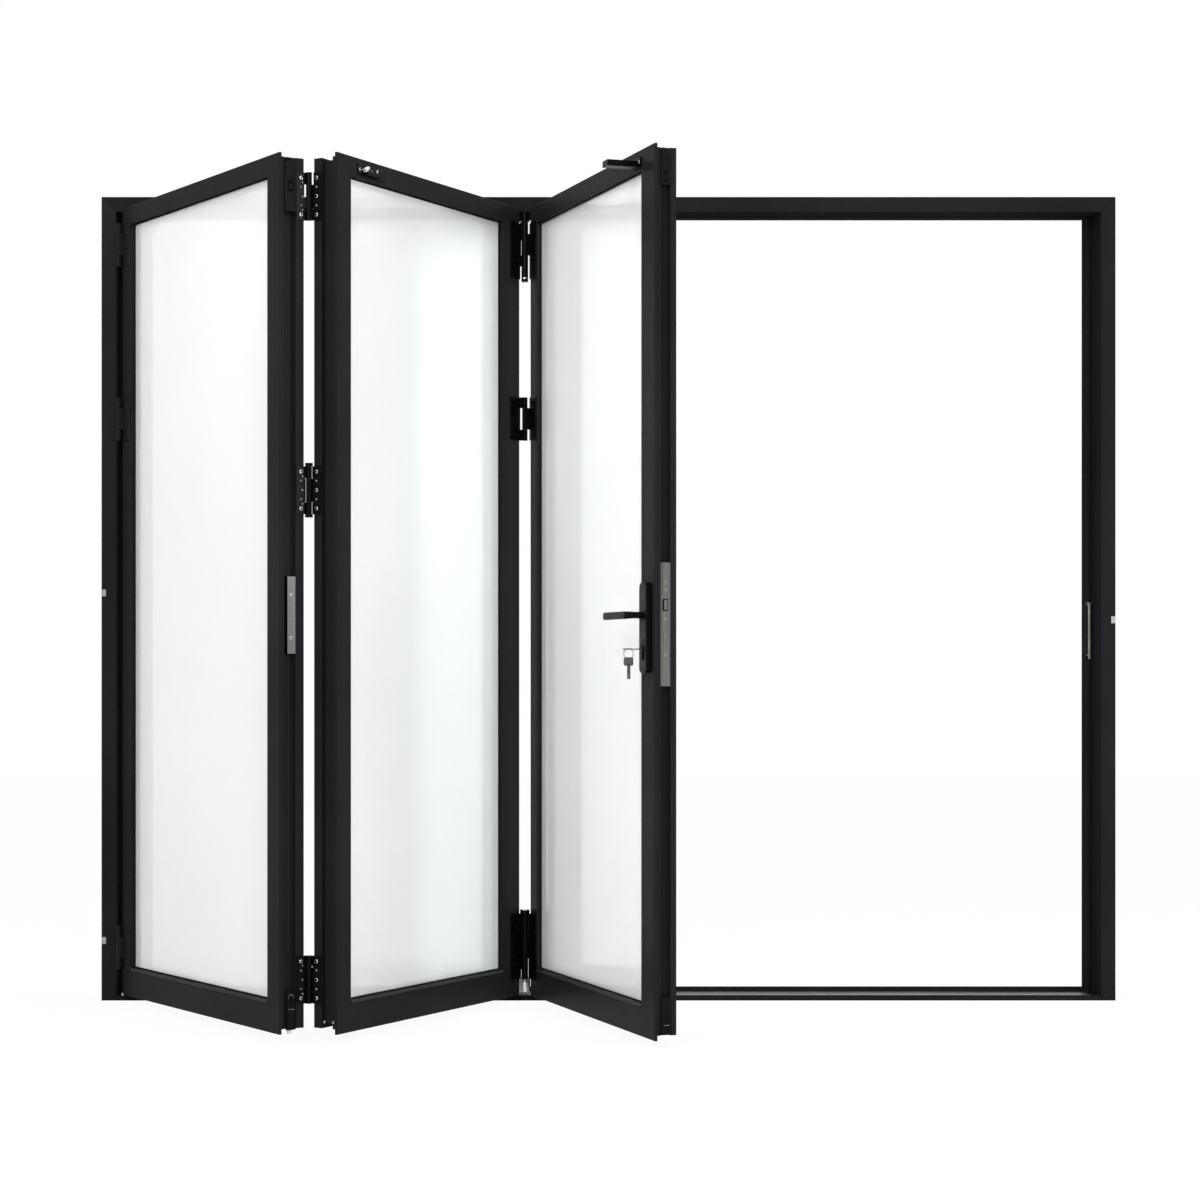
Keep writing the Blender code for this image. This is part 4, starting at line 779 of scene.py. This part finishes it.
def add_top_bolts(housings, tips, slots):
    """The block of each upper shoot bolt with its nylon tip, and the slot with its slider below it."""
    for number, (v, half) in BOLTS.items():
        leaf = LEAVES[number]
        low = (BOLT_FACE - 0.0150, v - half, 2.0427)
        add_box(housings, low, (BOLT_FACE, v + half, 2.0572), leaf, 0.0008)
        tip = leaf @ Matrix.Translation((BOLT_FACE - 0.0085, v, 2.0570))
        add_turned(tips, tip, [(0.0042, 0.0), (0.0042, 0.0050), (0.0034, 0.0066), (0.0012, 0.0070)], 18)
        # Each slot is a flat near-black plate, painted as the shade inside it
        slot = facing(leaf, (BOLT_FACE, v, 1.9920), ALONG)
        add_plate(slots, slot, half * 0.55, 0.0140, 0.0020, (SUNK, 0.0002))
        slider = facing(leaf, (BOLT_FACE, v, 1.9900), ALONG)
        add_plate(housings, slider, half * 0.30, 0.0060, 0.0015, (-0.0002, 0.0018))
        cover = facing(leaf, (BOLT_FACE, v, 2.0240), ALONG)
        add_plate(housings, cover, half * 0.80, 0.0140, 0.0015, (-0.0002, 0.0010))


def add_first_leaf_foot(housings, tips, slots, wires):
    """The raised block of the first leaf's lower bolt, with its seams, slot, tip and wire clip."""
    leaf = LEAVES[1]
    v = BOLTS[1][0]
    front = BOLT_FACE + 0.0030
    half = 0.0098
    low = (BOLT_FACE - 0.0010, v - half, 0.0262)
    add_box(housings, low, (front, v + half, 0.1040), leaf, 0.0010)
    flat = (SUNK, 0.0002)
    for seam_v in (v - 0.0118, v + 0.0118):
        add_plate(slots, facing(leaf, (BOLT_FACE, seam_v, 0.0650), ALONG), 0.0019, 0.0385, 0.0008, flat)
    # The slot at the top of the block is a flat near-black plate, painted as the shade inside it
    add_plate(slots, facing(leaf, (front, v, 0.0925), ALONG), 0.0044, 0.0110, 0.0020, flat)
    tip = leaf @ Matrix.Translation((BOLT_FACE - 0.0060, v, 0.0165))
    add_turned(tips, tip, [(0.0030, 0.0), (0.0056, 0.0006), (0.0060, 0.0020), (0.0060, 0.0110)], 18)
    wire = 0.0005
    bar = [leaf @ Vector((front + 0.0003, bar_v, 0.0742)) for bar_v in (0.0230, 0.0390)]
    add_tube(wires, bar, wire, 8)
    hook = (
        (-0.0062, 0.0990),
        (-0.0062, 0.1060),
        (-0.0040, 0.1090),
        (0.0040, 0.1075),
        (0.0066, 0.1030),
        (0.0066, 0.0995),
    )
    add_tube(wires, [leaf @ Vector((front + 0.0004, v + across, z)) for across, z in hook], wire, 8)


def add_bolt_details():
    """Housings, slots, nylon tips and wire clips of the shoot bolts, and two screws at leaf 2's foot."""
    housings = bmesh.new()
    tips = bmesh.new()
    slots = bmesh.new()
    wires = bmesh.new()
    screws = bmesh.new()
    add_top_bolts(housings, tips, slots)
    add_first_leaf_foot(housings, tips, slots, wires)
    bar = [LEAVES[3] @ Vector((BOLT_FACE + 0.0003, v, 0.0522)) for v in (0.0225, 0.0365)]
    add_tube(wires, bar, 0.0006, 8)
    for v in (0.0150, 0.0400):
        add_screw(screws, facing(LEAVES[2], (SIDE_OVERHANG, v, 0.0440), AGAINST), 0.0030, 0.0008)
    link_piece("foot_screws", screws, (ZINC, RECESS_SHADE_AND_SEAMS))
    link_piece("bolt_housings", housings, BLACK_PLASTIC)
    link_piece("bolt_tips", tips, PALE_NYLON)
    link_piece("bolt_slots", slots, RECESS_SHADE_AND_SEAMS)
    link_piece("bolt_clips", wires, STEEL)


def add_hinge_strips():
    """Dark strips beside the pins, which close the slits between the knuckles and the leaves."""
    shape = bmesh.new()
    soft = 0.0005
    front, back = LEAF_DEPTHS[1] + 0.0004, LEAF_DEPTHS[1] + 0.0058
    low = (LEAF_WIDTH - 0.010, front, 0.0985)
    add_box(shape, low, (EDGE_WING_FACE, back, 0.1835), LEAVES[1], soft)
    for x, foot, top in (
        (-0.0091, 0.0879, 0.2327),
        (0.0096, 0.1165, 0.2327),
        (-0.0091, 1.9834, 2.0303),
    ):
        middle = Vector((TRACK_PIN_X + x, PIN_LINE + 0.0062, 0))
        reach = Vector((0.0028, 0.0020, 0))
        low, high = middle - reach + Vector((0, 0, foot)), middle + reach + Vector((0, 0, top))
        add_box(shape, low, high, Matrix(), soft)
    for foot, top in ((0.0865, 0.1225), (0.1740, 0.1955)):
        add_box(shape, (WING_RISE, front, foot), (0.0100, back, top), LEAVES[2], soft)
    low = Vector((TRACK_PIN_X + 0.0104, PIN_LINE + 0.0090, 0.0380))
    add_box(shape, low, low + Vector((0.0040, 0.0030, 0.0215)), Matrix(), soft)
    link_piece("hinge_strips", shape, HARDWARE)


def add_guide_details():
    """Grooves painted near black as their shade, and a bright strip painted as the highlight down the
    middle of the shoe that runs in the sill's track.
    """
    grooves = bmesh.new()
    strip = bmesh.new()
    front = PIN_LINE - 0.0082
    half_groove, half_strip = 0.0128, 0.0042
    left, right = TRACK_PIN_X - half_groove, TRACK_PIN_X + half_groove
    for z in (0.0245, 0.0310, 0.0375, 0.0440, 0.0505):
        add_box(grooves, (left, front, z), (right, front + 0.0004, z + 0.0011), Matrix(), 0)
    low = (TRACK_PIN_X - half_strip, front - 0.0010, 0.0270)
    add_box(strip, low, (TRACK_PIN_X + half_strip, front + 0.0004, 0.0520), Matrix(), 0.0004)
    link_piece("guide_grooves", grooves, RECESS_SHADE_AND_SEAMS)
    link_piece("guide_painted_highlight", strip, ZINC)


def add_pivot_foot():
    """The small bright foot of the first leaf's pivot, on the sill's front edge beside the left jamb."""
    shape = bmesh.new()
    low = Vector((-1.2840, -0.0490, SILL_FLOOR - 0.0003))
    add_box(shape, low, low + Vector((0.0220, 0.0120, 0.0022)), Matrix(), 0.0006)
    place = Matrix.Translation((-1.2695, -0.0440, SILL_FLOOR + 0.0012))
    add_turned(shape, place, [(0.0044, 0.0), (0.0044, 0.0066), (0.0032, 0.0082), (0.0010, 0.0085)], 18)
    link_piece("pivot_foot", shape, ZINC)


for leaf_number, leaf_place in LEAVES.items():
    add_glass_unit(leaf_number, leaf_place)
add_glazing_gaskets()
add_bead_lips()
add_frame_gaskets()
add_ridge_screws()
add_face_screws()
add_pin_ends()
add_keys()
add_faceplate_details()
add_strike_details()
add_rear_plate()
add_catch_details()
add_bolt_details()
add_hinge_strips()
add_guide_details()
add_pivot_foot()


# Floor, world, lights and camera

FLOOR_REACH = 14.0
WHITE_SHARE_OF_FLOOR = 0.93
LIGHT_ON_OBJECT = 0.76

# Name, place, aim, size and power of each lamp
LAMPS = (
    ("key", (-2.1, -4.6, 3.9), (-0.8, 0, 1.3), (1.4, 2.0), 112),
    ("fill", (4.4, -2.8, 2.4), (-0.5, -0.4, 1.0), (2.0, 2.0), 120),
    ("top", (0, -0.6, 5.0), (0, 0, 0), (3.0, 2.0), 35),
)

# The camera, fitted to the corners of the door frame in the photo
CAMERA_PLACE = (-0.536, -6.658, 0.8664)
CAMERA_LENS = 75.86
CAMERA_SENSOR = 36
CAMERA_SHIFT = (0.1638, 0.0575)


def seen_rays(tree):
    """1 for camera, mirror and glass rays, and 0 for the rays that carry light to the object."""
    path = tree.nodes.new("ShaderNodeLightPath")
    seen = path.outputs["Is Camera Ray"]
    for name in ("Is Glossy Ray", "Is Transmission Ray"):
        either = tree.nodes.new("ShaderNodeMath")
        either.operation = "MAXIMUM"
        tree.links.new(seen, either.inputs[0])
        tree.links.new(path.outputs[name], either.inputs[1])
        seen = either.outputs[0]
    return seen


def floor_material():
    """A pale floor that camera rays see near white, keeping a share of the shadow."""
    made = Nodes("studio_floor")
    made.tree.nodes.remove(made.shader)
    pale = made.add("BsdfDiffuse")
    made.link(
        made.colours(made.noise(1.2, 2.0), (0.96, 0.96, 0.96), (0.98, 0.98, 0.98)), pale.inputs["Color"]
    )
    white = made.add("Emission", Strength=1.0)
    share = made.add("Math", operation="MULTIPLY")
    share.inputs[1].default_value = WHITE_SHARE_OF_FLOOR
    made.link(seen_rays(made.tree), share.inputs[0])
    mixed = made.add("MixShader")
    made.link(share.outputs["Value"], mixed.inputs["Fac"])
    made.link(pale.outputs["BSDF"], mixed.inputs[1])
    made.link(white.outputs["Emission"], mixed.inputs[2])
    made.link(mixed.outputs["Shader"], made.output.inputs["Surface"])
    return made.material


def studio_floor():
    """One flat sheet under the door."""
    material = floor_material()
    floor = bpy.data.meshes.new("studio_floor")
    corners = [
        (-FLOOR_REACH, -FLOOR_REACH, 0),
        (FLOOR_REACH, -FLOOR_REACH, 0),
        (FLOOR_REACH, FLOOR_REACH, 0),
        (-FLOOR_REACH, FLOOR_REACH, 0),
    ]
    floor.from_pydata(corners, [], [(0, 1, 2, 3)])
    floor.materials.append(material)
    piece = bpy.data.objects.new("studio_floor", floor)
    bpy.context.scene.collection.objects.link(piece)


def studio_world():
    """White to camera, mirror and glass rays, and a softer level for the light on the object."""
    world = bpy.data.worlds.new("studio")
    world.use_nodes = True
    tree = world.node_tree
    back = tree.nodes["Background"]
    back.inputs["Color"].default_value = (1, 1, 1, 1)
    level = tree.nodes.new("ShaderNodeMapRange")
    level.inputs["To Min"].default_value = LIGHT_ON_OBJECT
    level.inputs["To Max"].default_value = 1.0
    tree.links.new(seen_rays(tree), level.inputs["Value"])
    tree.links.new(level.outputs["Result"], back.inputs["Strength"])
    bpy.context.scene.world = world


def area_light(name, place, aim, size, power):
    """A rectangular lamp at place that shines towards aim."""
    lamp = bpy.data.lights.new(name, "AREA")
    lamp.shape = "RECTANGLE"
    lamp.size, lamp.size_y = size
    lamp.energy = power
    made = bpy.data.objects.new(name, lamp)
    made.location = place
    made.rotation_euler = (Vector(aim) - Vector(place)).to_track_quat("-Z", "Y").to_euler()
    bpy.context.scene.collection.objects.link(made)


def photo_camera():
    """A level camera at the photo's viewing angle."""
    camera = bpy.data.cameras.new("camera")
    camera.sensor_width = CAMERA_SENSOR
    camera.lens = CAMERA_LENS
    camera.shift_x, camera.shift_y = CAMERA_SHIFT
    made = bpy.data.objects.new("camera", camera)
    made.location = CAMERA_PLACE
    made.rotation_euler = (math.radians(90), 0, 0)
    bpy.context.scene.collection.objects.link(made)
    bpy.context.scene.camera = made


studio_floor()
studio_world()
for lamp_values in LAMPS:
    area_light(*lamp_values)
photo_camera()
bpy.context.scene.view_settings.view_transform = "Standard"
